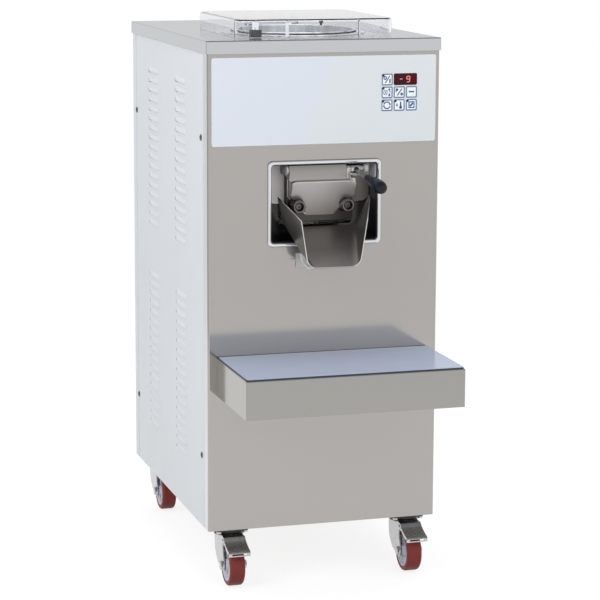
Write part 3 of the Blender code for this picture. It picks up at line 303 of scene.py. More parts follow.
LINES_ACROSS, LINES_UPRIGHT = (8, 2200, 2200), (2200, 2200, 6)
DULL, DULLER = {"Specular_IOR_Level": 0.25}, {"Specular_IOR_Level": 0.12}
BRUSHED_WALL = brushed("stainless_wall", (0.424, 0.408, 0.388), 0.12, (5, 5, 2600), 0.86, 0.03)
PALE_LIT_FOLD_STEEL = brushed("stainless_fold_painted_light", (0.70, 0.70, 0.72), 0.34, (2600, 2600, 5))
BRUSHED_TOP = brushed("stainless_top", (0.565, 0.573, 0.592), 0.24, (5, 2600, 2600))
BRUSHED_SHELF = brushed("stainless_shelf", (0.352, 0.345, 0.323), 0.13, (5, 2600, 2600), 0.86, 0.03)
SHADED_CHUTE_STEEL = shaded_trough_steel()
# Painted shade: nearly black steel for the hatch's flange behind its tongue.
SHADED_FLANGE_STEEL = brushed("flange_steel_painted_shade", (0.078, 0.071, 0.065), 0.36, LINES_ACROSS)
# Painted shade: a darker copy of the outlet plate's steel, for its part behind the hatch.
SHADED_PLATE_STEEL = brushed("plate_steel_painted_shade", (0.18, 0.165, 0.152), 0.42, LINES_UPRIGHT)
HOOD_STEEL = brushed("hood_steel", (0.35, 0.335, 0.32), 0.30, LINES_ACROSS)
EAR_STEEL = brushed("ear_steel", (0.46, 0.45, 0.45), 0.50, LINES_UPRIGHT, 0.3)
BOSS_STEEL = brushed("boss_steel", (0.20, 0.19, 0.18), 0.34, 900)
PLATE_STEEL = brushed("plate_steel", (0.58, 0.565, 0.56), 0.52, LINES_UPRIGHT)
POLISHED = mottled("polished_steel", (0.70, 0.71, 0.73), 0.10, 1.0, 60, 0.004, 0.02, 0.03)
BARREL_STEEL = streaked_steel()
CAST_STEEL = mottled("cast_steel", (0.70, 0.67, 0.65), 0.40, 1.0, 600, 0.004, 0.02, 0.04)
BAR_STEEL = mottled("bar_steel", (0.56, 0.55, 0.545), 0.20, 1.0, 300, 0.004, 0.02, 0.04)
DARK_STEEL = mottled("dark_steel", (0.13, 0.125, 0.12), 0.32, 1.0, 500, 0.01, 0.08)
WHITE_PAINT = mottled("white_paint", (0.70, 0.73, 0.76), 0.38, 0.0, 520, 0.012, 0.012)
OVERLAY_FILM = overlay_film()
KEY_FILM = mottled("key_film", (0.91, 0.94, 0.96), 0.30, 0.0, 900, 0.004, 0.015)
BLUE_INK = ink("blue_ink", (0.012, 0.105, 0.30))
GREY_INK = ink("grey_ink", (0.05, 0.095, 0.19))
BLACK_INK = ink("black_ink", (0.008, 0.008, 0.010))
DISPLAY_LENS = mottled("display_lens", (0.085, 0.004, 0.008), 0.10, 0.0, 300, 0.002, 0.10, 0.03, **DULLER)
DISPLAY_MODULE = mottled("display_module", (0.035, 0.012, 0.014), 0.30, 0.0, 500, 0.002, **DULLER)
DISPLAY_DIGITS = lit_digits()
LINER_BLACK = mottled("liner_black", (0.010, 0.010, 0.011), 0.16, 0.0, 300, 0.004, 0.15)
BLACK_PLASTIC = mottled("black_plastic", (0.010, 0.009, 0.010), 0.38, 0.0, 900, 0.02, 0.15, **DULL)
KNOB_PLASTIC = mottled("knob_plastic", (0.010, 0.011, 0.020), 0.16, 0.0, 500, 0.003, 0.10, 0.04, **DULL)
CLEAR_PLASTIC = clear_acrylic()
EDGE_HIGHLIGHT_PLASTIC = mottled("painted_edge_highlight", (0.86, 0.88, 0.92), 0.35, 0.0, 500, 0.004, 0.02)
MAT_PLASTIC = mottled("mat_plastic", (0.372, 0.432, 0.578), 0.14, 0.0, 700, 0.006, 0.02, 0.04)
MAT_BASE = mottled("mat_base", (0.035, 0.042, 0.075), 0.45, 0.0, 700, 0.03, 0.08)
ZINC = zinc_plated()
RED_TYRE = mottled("red_tyre", (0.22, 0.036, 0.032), 0.48, 0.0, 260, 0.04, 0.10, 0.08, **DULL)
HUB_PLASTIC = mottled("hub_plastic", (0.60, 0.59, 0.68), 0.38, 0.0, 400, 0.02, 0.04)
RUBBER = mottled("rubber", (0.022, 0.022, 0.023), 0.55, 0.0, 800, 0.03, 0.12)
WHITE_PLASTIC = mottled("white_plastic", (0.78, 0.78, 0.76), 0.36, 0.0, 500, 0.02, 0.02)
MACHINE_PAINT = mottled("machine_paint", (0.035, 0.036, 0.040), 0.42, 0.0, 400, 0.03, 0.10)
CAST_IRON = mottled("cast_iron", (0.12, 0.12, 0.12), 0.55, 0.6, 300, 0.06, 0.12)
ALUMINIUM = mottled("aluminium", (0.60, 0.60, 0.61), 0.38, 1.0, 300, 0.02)


# Outlines and profiles


def rectangle(low, high):
    return [(low[0], low[1]), (high[0], low[1]), (high[0], high[1]), (low[0], high[1])]


def arc(centre, radius, start, end, steps=8):
    """Points on an arc between two angles in degrees, both ends included."""
    angles = [math.radians(start + (end - start) * step / steps) for step in range(steps + 1)]
    return [(centre[0] + radius * math.cos(a), centre[1] + radius * math.sin(a)) for a in angles]


def disc(centre, radius, steps=24):
    return arc(centre, radius, 0, 360 - 360 / steps, steps - 1)


def rounded_rectangle(centre, width, height, radius, steps=6):
    points = []
    for quarter, (side, level) in enumerate(((1, 1), (-1, 1), (-1, -1), (1, -1))):
        across = centre[0] + side * (width / 2 - radius)
        up = centre[1] + level * (height / 2 - radius)
        points += arc((across, up), radius, 90 * quarter, 90 * quarter + 90, steps)
    return points


def smooth_line(points, steps=5):
    """A smooth line through points, which it passes in turn."""
    points = [Vector(point) for point in (points[0], *points, points[-1])]
    line = []
    for a, b, c, d in zip(points, points[1:], points[2:], points[3:]):
        for t in (step / steps for step in range(steps)):
            bend = (2 * a - 5 * b + 4 * c - d) * t**2 + (3 * b - a - 3 * c + d) * t**3
            line.append(b + ((c - a) * t + bend) / 2)
    return line + points[-1:]


def mirrored(points):
    """The points on the other side of the middle, in reverse order."""
    return [(-x, *rest) for x, *rest in reversed(points)]


def two_sided(profile):
    """A profile that goes on from its last point, mirrored about height 0."""
    return profile + [(radius, -height) for radius, height in reversed(profile)]


def rod_profile(radius, length, edge):
    """A bar with turned-down ends, to be turned about its axis."""
    profile = [(0, length), (radius - edge, length), (radius, length - edge)]
    return profile + [(radius, edge), (radius - edge, 0), (0, 0)]


def from_front(*points):
    """Points in Y and Z whose Y is counted from the cabinet's front."""
    return [(FRONT + y, z) for y, z in points]


# Shapes, as meshes


def mesh_of(shape):
    mesh = bpy.data.meshes.new("shape")
    shape.to_mesh(mesh)
    shape.free()
    return mesh


def shape_of(mesh):
    shape = bmesh.new()
    shape.from_mesh(mesh)
    shape.normal_update()
    return shape


def solid_of(shape):
    """A mesh whose coinciding points are welded and whose faces point out."""
    bmesh.ops.remove_doubles(shape, verts=shape.verts, dist=WELD)
    shape.normal_update()
    bmesh.ops.recalc_face_normals(shape, faces=shape.faces)
    return mesh_of(shape)


def loft(rings, closed=True, caps=False, looped=False):
    """Faces between one ring of points and the next."""
    shape = bmesh.new()
    rows = [[shape.verts.new(point) for point in ring] for ring in rings]
    pairs = list(zip(rows, rows[1:]))
    if looped:
        pairs.append((rows[-1], rows[0]))
    count = len(rows[0])
    for near, far in pairs:
        for i in range(count if closed else count - 1):
            j = (i + 1) % count
            shape.faces.new((near[i], near[j], far[j], far[i]))
    if caps:
        shape.faces.new(rows[0])
        shape.faces.new(rows[-1])
    return solid_of(shape)


def facing(place, axis):
    """The turn that takes +Z to an axis, and the move from the origin to a place."""
    return Matrix.Translation(place) @ axis.to_track_quat("Z", "Y").to_matrix().to_4x4()


def lathe(profile, place, axis=Z, steps=48, ring=False):
    """Turns (radius, height) points about an axis through a place. A ring's profile closes on itself."""
    turn = facing(place, axis)
    angles = [2 * math.pi * step / steps for step in range(steps)]
    rings = []
    for radius, height in profile:
        rings.append([turn @ Vector((radius * math.cos(a), radius * math.sin(a), height)) for a in angles])
    return loft(rings, looped=ring)


def slab(outlines, plane, low, high):
    """Flat outlines, the later ones holes, filled and thick along the plane's normal."""
    across, up, normal = PLANES[plane]
    shape = bmesh.new()
    edges = []
    for outline in outlines:
        corners = [shape.verts.new(across * u + up * v + normal * low) for u, v in outline]
        edges += [shape.edges.new(pair) for pair in zip(corners, corners[1:] + corners[:1])]
    if len(outlines) == 1:
        shape.faces.new(corners)
    else:
        bmesh.ops.triangle_fill(shape, use_beauty=True, edges=edges)
    raised = bmesh.ops.extrude_face_region(shape, geom=shape.faces[:])["geom"]
    tops = [item for item in raised if isinstance(item, bmesh.types.BMVert)]
    bmesh.ops.translate(shape, verts=tops, vec=normal * (high - low))
    return solid_of(shape)


def block(low, high):
    return slab([rectangle(low, high)], "XY", low[2], high[2])


def joined(*meshes):
    """Several bodies in one mesh."""
    shape = bmesh.new()
    for mesh in meshes:
        shape.from_mesh(mesh)
        bpy.data.meshes.remove(mesh)
    return mesh_of(shape)


def moved(mesh, matrix):
    mesh.transform(matrix)
    return mesh


def around(mesh, axis, count):
    """Copies of a shape that points along +X, at even places round an upright axis, the first to the rear."""
    copies = []
    for index in range(count):
        turn = Matrix.Rotation(math.radians(90 + 360 * index / count), 4, "Z")
        copies.append(moved(mesh.copy(), Matrix.Translation(axis.xy.to_3d()) @ turn))
    return copies


def link(name, data):
    obj = bpy.data.objects.new(name, data)
    bpy.context.scene.collection.objects.link(obj)
    return obj


def modify(obj, kind, **settings):
    modifier = obj.modifiers.new(kind.lower(), kind)
    for setting, value in settings.items():
        setattr(modifier, setting, value)


def round_edges(width, segments, sharp):
    """The settings of a bevel on edges that turn by more than an angle in degrees."""
    limit = {"limit_method": "ANGLE", "angle_limit": math.radians(sharp)}
    return {"width": width, "segments": segments, **limit}


def worked(mesh, *steps):
    """The mesh after some modifiers, each a kind and its settings."""
    obj = link("work", mesh)
    for kind, settings in steps:
        modify(obj, kind, **settings)
    graph = bpy.context.evaluated_depsgraph_get()
    made = bpy.data.meshes.new_from_object(obj.evaluated_get(graph))
    bpy.data.objects.remove(obj)
    return made


def carved(mesh, other, operation="DIFFERENCE"):
    helper = link("helper", other)
    made = worked(mesh, ("BOOLEAN", {"operation": operation, "object": helper}))
    bpy.data.objects.remove(helper)
    return made


def parted(mesh, cutter):
    """The parts of a mesh inside a cutter and outside it."""
    return carved(mesh.copy(), cutter.copy(), "INTERSECT"), carved(mesh, cutter)


def thickened(mesh, thickness, offset=-1):
    return worked(mesh, ("SOLIDIFY", {"thickness": thickness, "offset": offset, "use_even_offset": True}))


def pressed(mesh, open_sides, sheet, radius, segments=4, sharp=30):
    """Sheet pressed to the outside of a solid, with round edges and without the solid's open sides."""
    shape = shape_of(mesh)
    gone = [face for face in shape.faces if any(face.normal.dot(side) > 0.9 for side in open_sides)]
    bmesh.ops.delete(shape, geom=gone, context="FACES")
    return thickened(worked(mesh_of(shape), ("BEVEL", round_edges(radius, segments, sharp))), sheet)


def folded_wall(path, low, high):
    """Upright sheet that follows a path in plan, its outer face on the path."""
    shape = shape_of(loft([[(x, y, z) for x, y in path] for z in (low, high)], closed=False))
    middle = (low + high) / 2 * Z
    if sum(face.normal.dot(face.calc_center_median() - middle) for face in shape.faces) < 0:
        bmesh.ops.reverse_faces(shape, faces=shape.faces)
    return thickened(mesh_of(shape), SHEET)


def node_shape(node):
    """The node's own shape, welded."""
    return solid_of(shape_of(moved(NODES[node].data.copy(), Matrix.Scale(1 / MM, 4))))


def cast(mesh, voxel, rounds, keep):
    """The shape with its edges softened as a casting's are."""
    return worked(
        mesh,
        ("REMESH", {"mode": "VOXEL", "voxel_size": voxel}),
        ("SMOOTH", {"factor": 0.5, "iterations": rounds}),
        ("DECIMATE", {"ratio": keep}),
    )


# Pieces


def piece(name, mesh, finish, node, bevel=0.0, segments=2, sharp=38):
    """A shown piece, now in metres, that rides with a node's body and stands for that node."""
    obj = link(name, moved(mesh, Matrix.Scale(MM, 4)))
    mesh.name = name
    mesh.materials.clear()
    mesh.materials.append(finish.material)
    mesh.shade_smooth()
    if bevel:
        modify(obj, "BEVEL", **round_edges(bevel * MM, segments, sharp))
    else:
        mesh.set_sharp_from_angle(angle=math.radians(sharp))
    modify(obj, "WEIGHTED_NORMAL", keep_sharp=True)
    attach(obj, BODY_OF[node])
    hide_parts(node)


def screw_heads(places, axis, radius=4):
    """Low round screw heads with a socket, on places of a surface that faces along an axis."""
    rise, socket = 0.34 * radius, 0.42 * radius
    profile = [(0, 0.25 * rise), (socket * 0.9, 0.25 * rise), (socket, 0.93 * rise)]
    profile += [(0.62 * radius, 0.86 * rise), (0.88 * radius, 0.55 * rise), (radius, 0.15 * rise)]
    profile += [(radius, -0.2 * rise), (0, -0.2 * rise)]
    return joined(*(lathe(profile, place, axis, 20) for place in places))


def hexagon_head(place, axis, radius, rise):
    """A hexagonal head or nut whose rim is turned down a little."""
    turn = facing(place, axis)
    rings = []
    for share, level in ((1, 0), (1, 0.8), (0.86, 1)):
        rings.append([turn @ Vector((u, v, level * rise)) for u, v in disc((0, 0), share * radius, 6)])
    return loft(rings, caps=True)


# Cabinet


def front_panel():
    box, through = Box("front_panel"), 5
    low, high = box.low, box.high
    corner = (high.x - FOLD_RADIUS, low.y + FOLD_RADIUS)
    right = [(high.x, high.y - SEAM)] + arc(corner, FOLD_RADIUS, 0, -90)
    wall = folded_wall(right + mirrored(right), low.z, high.z)
    for node, margin in (("recess_liner", 0.5), ("keypad_board", -1.2)):
        hole, spread = Box(node), Vector((margin, margin))
        outline = rectangle(hole.low.xz - spread, hole.high.xz + spread)
        wall = carved(wall, slab([outline], "XZ", FRONT - through, FRONT + through))
    # The brushing runs the other way on the folded sides, and their steel is painted paler: painted light, as
    # the folds show brighter than the front.
    sides = block((2 * low.x, low.y + 0.8 * FOLD_RADIUS, 0), (2 * high.x, 2 * high.y - low.y, 2 * high.z))
    folds, sheet = parted(wall, sides)
    piece("front_folds", folds, PALE_LIT_FOLD_STEEL, "front_panel")
    piece("front_sheet", sheet, BRUSHED_WALL, "front_panel")


def rear_panel():
    box, through = Box("rear_panel"), 5
    low, high, back = box.low, box.high, box.high.y
    corner = (high.x - FOLD_RADIUS, back - FOLD_RADIUS)
    right = [(high.x, low.y)] + arc(corner, FOLD_RADIUS, 0, 90)
    wall = folded_wall(right + mirrored(right), low.z, high.z)
    slot_x, slot_length, slot_height, slot_radius = 90, 130, 7, 3.4
    first_slot, slot_pitch, rows = 290, 24, 10
    centres = [(x, first_slot + row * slot_pitch) for x in (-slot_x, slot_x) for row in range(rows)]
    holes = [rounded_rectangle(centre, slot_length, slot_height, slot_radius) for centre in centres]
    gland_radius = 10
    holes.append(disc(Box("cable_gland").middle.xz, gland_radius))
    cutters = [slab([hole], "XZ", back - through, back + through) for hole in holes]
    piece("rear_sheet", carved(wall, joined(*cutters)), WHITE_PAINT, "rear_panel")
    inset, levels = 14, (160, 580, 1000)
    places = [(x, back, z) for x in (low.x + inset, high.x - inset) for z in levels]
    piece("rear_screws", screw_heads(places, Y), ZINC, "rear_panel")


def louvre(centre, side):
    """A pressed louvre: a hood that rises from its top edge to an open lower lip, tapered at its ends."""
    rows, columns, blunt = 4, 14, 8
    rings = []
    for row in range(rows + 1):
        down = row / rows
        ring = []
        for column in range(columns + 1):
            along = math.sin(math.pi * (column / columns - 0.5))
            out = LOUVRE_RISE * (1 - abs(along) ** blunt) * math.sin(math.pi / 2 * down)
            place = Vector((side * out, along * LOUVRE_LENGTH / 2, LOUVRE_HEIGHT * (0.5 - down)))
            ring.append(centre + place)
        rings.append(ring if side > 0 else ring[::-1])
    return loft(rings, closed=False)


def side_panel(name, side):
    box = Box(name)
    low, high = box.low, box.high
    outer, inner = (high.x, low.x) if side > 0 else (low.x, high.x)
    fold, outward = 2, 0 if side > 0 else 180
    path = [(inner, low.y)] + arc((outer - side * fold, low.y + fold), fold, -90, -outward, 4)
    path += arc((outer - side * fold, high.y - fold), fold, outward, 90, 4) + [(inner, high.y)]
    hoods, slits, through = [], [], 6
    for column in LOUVRE_COLUMNS:
        for top in LOUVRE_TOPS:
            for row in range(LOUVRE_ROWS):
                centre = Vector((outer, FRONT + column, top - row * LOUVRE_PITCH))
                hoods.append(louvre(centre, side))
                outline = [(centre.y + y, centre.z + z) for y, z in LOUVRE_SLIT]
                slits.append(slab([outline], "YZ", outer - through, outer + through))
    wall = carved(folded_wall(path, low.z, high.z), joined(*slits))
    piece(name.replace("panel", "sheet"), wall, WHITE_PAINT, name)
    piece(name.replace("panel", "louvres"), thickened(joined(*hoods), LOUVRE_SHEET), WHITE_PAINT, name)
    places = [(outer, y, z) for y, z in from_front(*SIDE_SCREWS)]
    heads = screw_heads(places, side * X, SIDE_SCREW_RADIUS)
    piece(name.replace("panel", "screws"), heads, DARK_STEEL, name)


def top_cover():
    box, hole_radius, above = Box("top_cover"), 121.8, 10
    cover = pressed(block(box.low, box.high), [-Z], SHEET, PRESSED_EDGE)
    hole = slab([disc(PIVOT["stirrer_spin"], hole_radius, 96)], "XY", box.low.z, box.high.z + above)
    piece("top_sheet", carved(cover, hole), BRUSHED_TOP, "top_cover")


def cable_gland():
    box = Box("cable_gland")
    place = Vector((box.middle.x, Box("rear_panel").high.y, box.middle.z))
    reach = box.high.y - place.y
    nut_radius, cap_radius, rise = 15, 13.5, 0.3 * reach
    nut = hexagon_head(place, Y, nut_radius, rise)
    cap = hexagon_head(place + 1.2 * rise * Y, Y, cap_radius, rise)
    bore, dome, root = 4, 10.5, -6
    profile = [(bore, reach), (bore + 2, reach), (dome - 1, 0.8 * reach), (dome, 0.64 * reach)]
    profile += [(dome, root), (bore, root)]
    piece("gland", joined(nut, cap, lathe(profile, place, Y, 32, ring=True)), BLACK_PLASTIC, "cable_gland")


# Control panel


def display_window():
    """The middle of the display, in X and Z, its width and its height: it fills the top row's free places."""
    left, right, row = Box("key_program").low.x, Box("key_minus").high.x, Box("key_power")
    return ((left + right) / 2, row.middle.z), right - left, row.size.z


def control_overlay():
    box, corner, gap = Box("control_overlay"), 4, 0.3
    windows = [(Box(key).middle.xz, *Box(key).size.xz) for key in KEY_MARKS] + [display_window()]
    outlines = [rounded_rectangle(box.middle.xz, *box.size.xz, corner)]
    for middle, width, height in windows:
        outlines.append(rounded_rectangle(middle, width + 2 * gap, height + 2 * gap, KEY_CORNER))
    piece("overlay", slab(outlines, "XZ", box.low.y, box.high.y), OVERLAY_FILM, "control_overlay", 0.25)


def bar(start, end, width):
    along = (Vector(end) - Vector(start)).normalized() * width / 2
    side = Vector((-along.y, along.x))
    start, end = Vector(start) - along * 0.2, Vector(end) + along * 0.2
    return [[tuple(start + side), tuple(start - side), tuple(end - side), tuple(end + side)]]


def ring_mark(centre, outer, inner):
    return [disc(centre, outer), disc(centre, inner)]


def band(centre, outer, inner, start, end):
    return [arc(centre, outer, start, end, 14) + arc(centre, inner, end, start, 14)]


def frame_mark(centre, width, height, line, radius):
    inner = rounded_rectangle(centre, width - 2 * line, height - 2 * line, max(radius - line, 0.2))
    return [rounded_rectangle(centre, width, height, radius), inner]


def arrow_tip(centre, radius, angle, turn, size):
    """A triangle on a circle, which points along the circle."""
    a = math.radians(angle)
    at = Vector((centre[0] + radius * math.cos(a), centre[1] + radius * math.sin(a)))
    ahead = Vector((-math.sin(a), math.cos(a))) * turn * size
    aside = Vector((math.cos(a), math.sin(a))) * size * 0.7
    return [[tuple(at + ahead), tuple(at + aside), tuple(at - aside)]]


KEY_CORNER = 3
SLASH = bar((-3.8, -6.4), (5, 6.6), 1.9)
LETTER_P = [[(-7.4, 0), (-5.4, 0), (-5.4, 2.8), (-4, 2.8)] + arc((-4, 5), 2.2, -90, 90) + [(-7.4, 7.2)]]
PLUS = [bar((5, -6.6), (5, -1), 2.2), bar((2.2, -3.8), (7.8, -3.8), 2.2)]
SNOW_X, SNOW_ARMS = -4.4, ((2.6, 0), (1.3, 2.7), (-1.3, 2.7))
SNOW = [bar((SNOW_X - u, -v), (SNOW_X + u, v), 0.9) for u, v in SNOW_ARMS]

# Marks on each key, from its middle: blue shapes, grey shapes, and whether it has a lamp.
# Each shape is a list of outlines, the later ones holes.
KEY_MARKS = {
    "key_power": ([ring_mark((-4.2, 3), 3.7, 1.4), bar((5.6, -6.6), (5.6, 0.6), 2.8)], [SLASH], True),
    "key_mix": (
        [[disc((4.6, 5.4), 2.1)], [disc((4.6, -5.4), 2.1)]],
        [band((0.2, 0), 6.4, 5.2, -48, 48), bar((-6, -4), (0, 4), 1), bar((-6, 4), (0, -4), 1)]
        + [ring_mark((-3, 0), 4.9, 4.1)],
        True,
    ),
    "key_program": ([LETTER_P, *PLUS], [SLASH], False),
    "key_minus": ([bar((-5, 0.4), (5, 0.4), 2.8)], [], False),
    "key_cycle": (
        [band((0, 0), 7.5, 5.2, 20, 165), band((0, 0), 7.5, 5.2, 200, 345)]
        + [arrow_tip((0, 0), 6.2, 20, -1, 3), arrow_tip((0, 0), 6.2, 200, -1, 3)],
        [],
        True,
    ),
    "key_temperature": (
        [[disc((3, -4.6), 2.9)], bar((3, -4), (3, 0.6), 3)],
        [bar((3, 0.8), (3, 6), 2.8), *SNOW],
        True,
    ),
    "key_confirm": ([frame_mark((0.4, 0), 12.4, 13, 2.2, 1.4), bar((-2.2, -2.6), (2.8, 3), 3.4)], [], True),
}


def print_on(face, centre, shapes, rise=0.12):
    """Printed marks as thin raised shapes on a face that looks to the front."""
    meshes = []
    for outlines in shapes:
        placed = [[(centre[0] + u, centre[1] + v) for u, v in outline] for outline in outlines]
        meshes.append(slab(placed, "XZ", face - rise, face + rise))
    return joined(*meshes)


def keys():
    lamp, lamp_offset = [(0, 0.5), (1.8, 0.4), (2.7, 0.1), (2.7, -0.3), (0, -0.3)], 7.9
    rim_gap, rim_line, rim_corner = 0.3, 1.7, 2.8
    for key, (blue, grey, has_lamp) in KEY_MARKS.items():
        box = Box(key)
        face, centre, size = box.low.y, box.middle.xz, box.size.x
        cap = slab([rounded_rectangle(centre, size, size, KEY_CORNER)], "XZ", face, box.high.y)
        piece(key + "_cap", cap, KEY_FILM, key, 0.3)
        rim_size = size - 2 * rim_gap
        rim = frame_mark((0, 0), rim_size, rim_size, rim_line, rim_corner)
        piece(key + "_marks", print_on(face, centre, [rim, *blue]), BLUE_INK, key)
        if grey:
            piece(key + "_grey_marks", print_on(face, centre, grey), GREY_INK, key)
        if has_lamp:
            place = (centre.x - lamp_offset, face, centre.y + lamp_offset)
            piece(key + "_lamp", lathe(lamp, place, -Y, 24), BLACK_INK, key)


def display():
    """The red display: lens, digit modules and the lit segments of minus nine, on the keypad's board."""
    node = "keypad_board"
    box = Box(node)
    face, back = box.low.y, box.high.y
    centre, width, height = display_window()
    lens_corner, lens_thick, board_thick = 2.5, 3, 1.6
    lens = slab([rounded_rectangle(centre, width, height, lens_corner)], "XZ", face, face + lens_thick)
    piece("display_lens", lens, DISPLAY_LENS, node, 0.4)
    board = slab([rectangle(box.low.xz, box.high.xz)], "XZ", back - board_thick, back)
    piece("keypad_circuit", board, BLACK_PLASTIC, node, 0.3)
    minus, nine, module_width, module_height, module_corner = -8.6, 5.6, 13.5, 18, 0.6
    sizes = (module_width, module_height, module_corner)
    modules = [[rounded_rectangle((x, 0), *sizes)] for x in (minus, nine)]
    piece("display_modules", print_on(face, centre, modules, 0.06), DISPLAY_MODULE, node)
    half, tall, line, lean = 3.1, 5.4, 1.8, 0.5
    segments = [bar((minus - half * 0.8, 0.4), (minus + half * 0.8, 0.4), line)]
    for level in (tall, 0, -tall):
        shift = nine + lean * level / tall
        segments.append(bar((shift - half + 1, level), (shift + half - 1, level), line))
    for x, start, end in ((half, -tall, 0), (half, 0, tall), (-half, 0, tall)):
        ends = [(nine + x + lean * v / tall, v) for v in (start, end)]
        segments.append(bar(*ends, line))
    piece("display_digits", print_on(face, centre, segments, 0.1), DISPLAY_DIGITS, node)


# Outlet recess and shelf


def recess_liner():
    box, wall = Box("recess_liner"), 1
    front, back, middle = box.low.y, box.high.y, box.middle.xz
    outer, inner = box.size.xz, box.size.xz - 2 * Vector((wall, wall))
    port, port_size = Box("door_seal").middle.xz, (148, 87)
    rings = []
    for centre, size, radius, y in (
        (middle, outer, 6, front),
        (middle, inner, 5, front),
        (middle, inner, 5, back - wall),
        (port, port_size, 5, back - wall),
        (port, port_size, 5, back),
        (middle, outer, 6, back),
    ):
        rings.append([(x, y, z) for x, z in rounded_rectangle(centre, *size, radius)])
    piece("recess_lining", loft(rings, looped=True), LINER_BLACK, "recess_liner")


def recess_trim():
    """The bright moulding round the recess, half round in section."""
    box, liner, steps = Box("recess_trim"), Box("recess_liner"), 10
    outer_radius, inner_radius = 10, 6
    rings = []
    for step in range(steps + 1):
        angle = math.pi * step / steps
        share = (1 - math.cos(angle)) / 2
        size = box.size.xz.lerp(liner.size.xz, share)
        radius = outer_radius + (inner_radius - outer_radius) * share
        level = box.high.y - box.size.y * math.sin(angle) ** 0.5
        rings.append([(x, level, z) for x, z in rounded_rectangle(box.middle.xz, *size, radius, 8)])
    piece("recess_moulding", loft(rings, looped=True), POLISHED, "recess_trim", sharp=60)


def shelf():
    box = Box("shelf_body")
    low, high = box.low, box.high
    tray = pressed(block(low, high), [-Z, Y], SHEET, PRESSED_EDGE)
    lip, inner, top = 14, SHEET * 0.9, low.z + SHEET
    lips = [block((low.x + inner, low.y + inner, low.z), (high.x - inner, low.y + lip, top))]
    for x in (low.x + inner, high.x - lip):
        lips.append(block((x, low.y + lip, low.z), (x + lip - inner, high.y, top)))
    piece("shelf_tray", joined(tray, *lips), BRUSHED_SHELF, "shelf_body")


def shelf_mat():
    box, inset = Box("shelf_mat"), 1
    bottom, parting, top = box.low.z, box.low.z + 1.6, box.high.z
    width, depth, corner = *box.size.xy, 5
    base = slab([rounded_rectangle(box.middle, width, depth, corner)], "XY", bottom, parting)
    piece("mat_base", base, MAT_BASE, "shelf_mat", 0.3)
    tread = slab([rounded_rectangle(box.middle, width - inset, depth - inset, corner)], "XY", parting, top)
    piece("mat_top", tread, MAT_PLASTIC, "shelf_mat", 0.6, 3)


# Freezing cylinder and stirrer


def freezing_cylinder():
    box, axis = Box("freezing_cylinder"), PIVOT["stirrer_spin"]
    place, bottom, base, top = axis.xy.to_3d(), box.low.z, axis.z, box.high.z
    throat, radius, wall, jacket, flange = 18.5, 118, 3, 134, 140
    outer, jacket_top, shoulder, lip = radius + wall, 905, 920, 1.2
    seat = Box("top_cover").high.z + 0.3
    brim = seat + 2.3
    profile = [(throat, base), (radius - 12, base), (radius - 3, base + 3), (radius, base + 12)]
    profile += [(radius, top - lip), (radius + lip, top), (outer - lip, top), (outer, top - lip)]
    profile += [(outer, brim), (flange - lip, brim), (flange, seat + 1), (flange, seat), (outer, seat)]
    profile += [(outer, shoulder), (jacket, jacket_top), (jacket, bottom), (throat, bottom)]
    barrel = lathe(profile, place, steps=96, ring=True)
    half, port_low, port_high = 60, 706, 765
    port = block((-half, Box("door_seal").low.y, port_low), (half, axis.y - radius / 2, port_high))
    piece("barrel", carved(barrel, port), BARREL_STEEL, "freezing_cylinder")
    # A thin dark ring round the collar, under its brim.
    rim = [(0.2, 4.6), (1.6, 4.4), (2.4, 3.6), (2.4, 2.4), (0.2, 2.4)]
    dark_ring = lathe([(outer + out, seat + up) for out, up in rim], place, steps=96, ring=True)
    piece("collar_dark_ring", dark_ring, RUBBER, "freezing_cylinder")
    outlet_mouth(half, port_low, port_high)


def outlet_mouth(half, port_low, port_high):
    """The plate round the outlet with its duct, and the two ears that carry the hatch's shaft."""
    node, liner, face, thick = "freezing_cylinder", Box("recess_liner").high, FRONT + 44, 4
    narrow, wide, top = 67, liner.x - 2, liner.z - 3.5
    right = [(narrow, 700), (narrow, 735), (wide - 10, 738), (wide, 744), (wide, top)]
    middle, port_height = (0, (port_low + port_high) / 2), port_high - port_low
    port = rounded_rectangle(middle, 2 * half, port_height, 4)
    plate = slab([right + mirrored(right), port], "XZ", face, face + thick)
    # The plate's left wing and top are bright, and the rest, behind the hatch, is a much darker copy of the
    # same steel: painted shade, where the hatch shades the plate.
    beyond, above = 2 * wide, 2 * liner.z
    rim = [(-beyond, 737), (-narrow, 737), (-narrow, 801), (58, 801), (58, 786), (beyond, 786)]
    rim += [(beyond, above), (-beyond, above)]
    wing, plate = parted(plate, slab([rim], "XZ", FRONT, face + 2 * thick))
    piece("outlet_wing", wing, PLATE_STEEL, node, 0.3)
    piece("outlet_plate", plate, SHADED_PLATE_STEEL, node, 0.3)
    duct_wall, duct_depth = 6, 47.5
    outer = rounded_rectangle(middle, 2 * (half + duct_wall), port_height + 2 * duct_wall, duct_wall)
    piece("outlet_duct", slab([outer, port], "XZ", face + thick, face + duct_depth), BARREL_STEEL, node)
    axis, radius, bore, root = PIVOT["hatch_swing"], 9.5, 5.3, face + 2
    left_ear, right_ear = (-75, -71), (80, 88)
    outline = arc(axis.yz, radius, 90, 270, 12) + [(root, axis.z - radius), (root, axis.z + radius)]
    ears = [slab([outline, disc(axis.yz, bore)], "YZ", *right_ear), slab([outline], "YZ", *left_ear)]
    piece("hatch_ears", joined(*ears), EAR_STEEL, node, 0.7)
    # A pale sheet lines the recess's right wall beside the lever: a painted reflection, pale where the dark
    # wall mirrors light.
    wall, sheet, near = liner.x - 1.2, 0.8, FRONT + 3
    lining = slab([[(near, 788), (face, 780), (face, 813), (near, 813)]], "YZ", wall - sheet, wall)
    piece("recess_reflection_sheet", lining, WHITE_PAINT, "recess_liner")


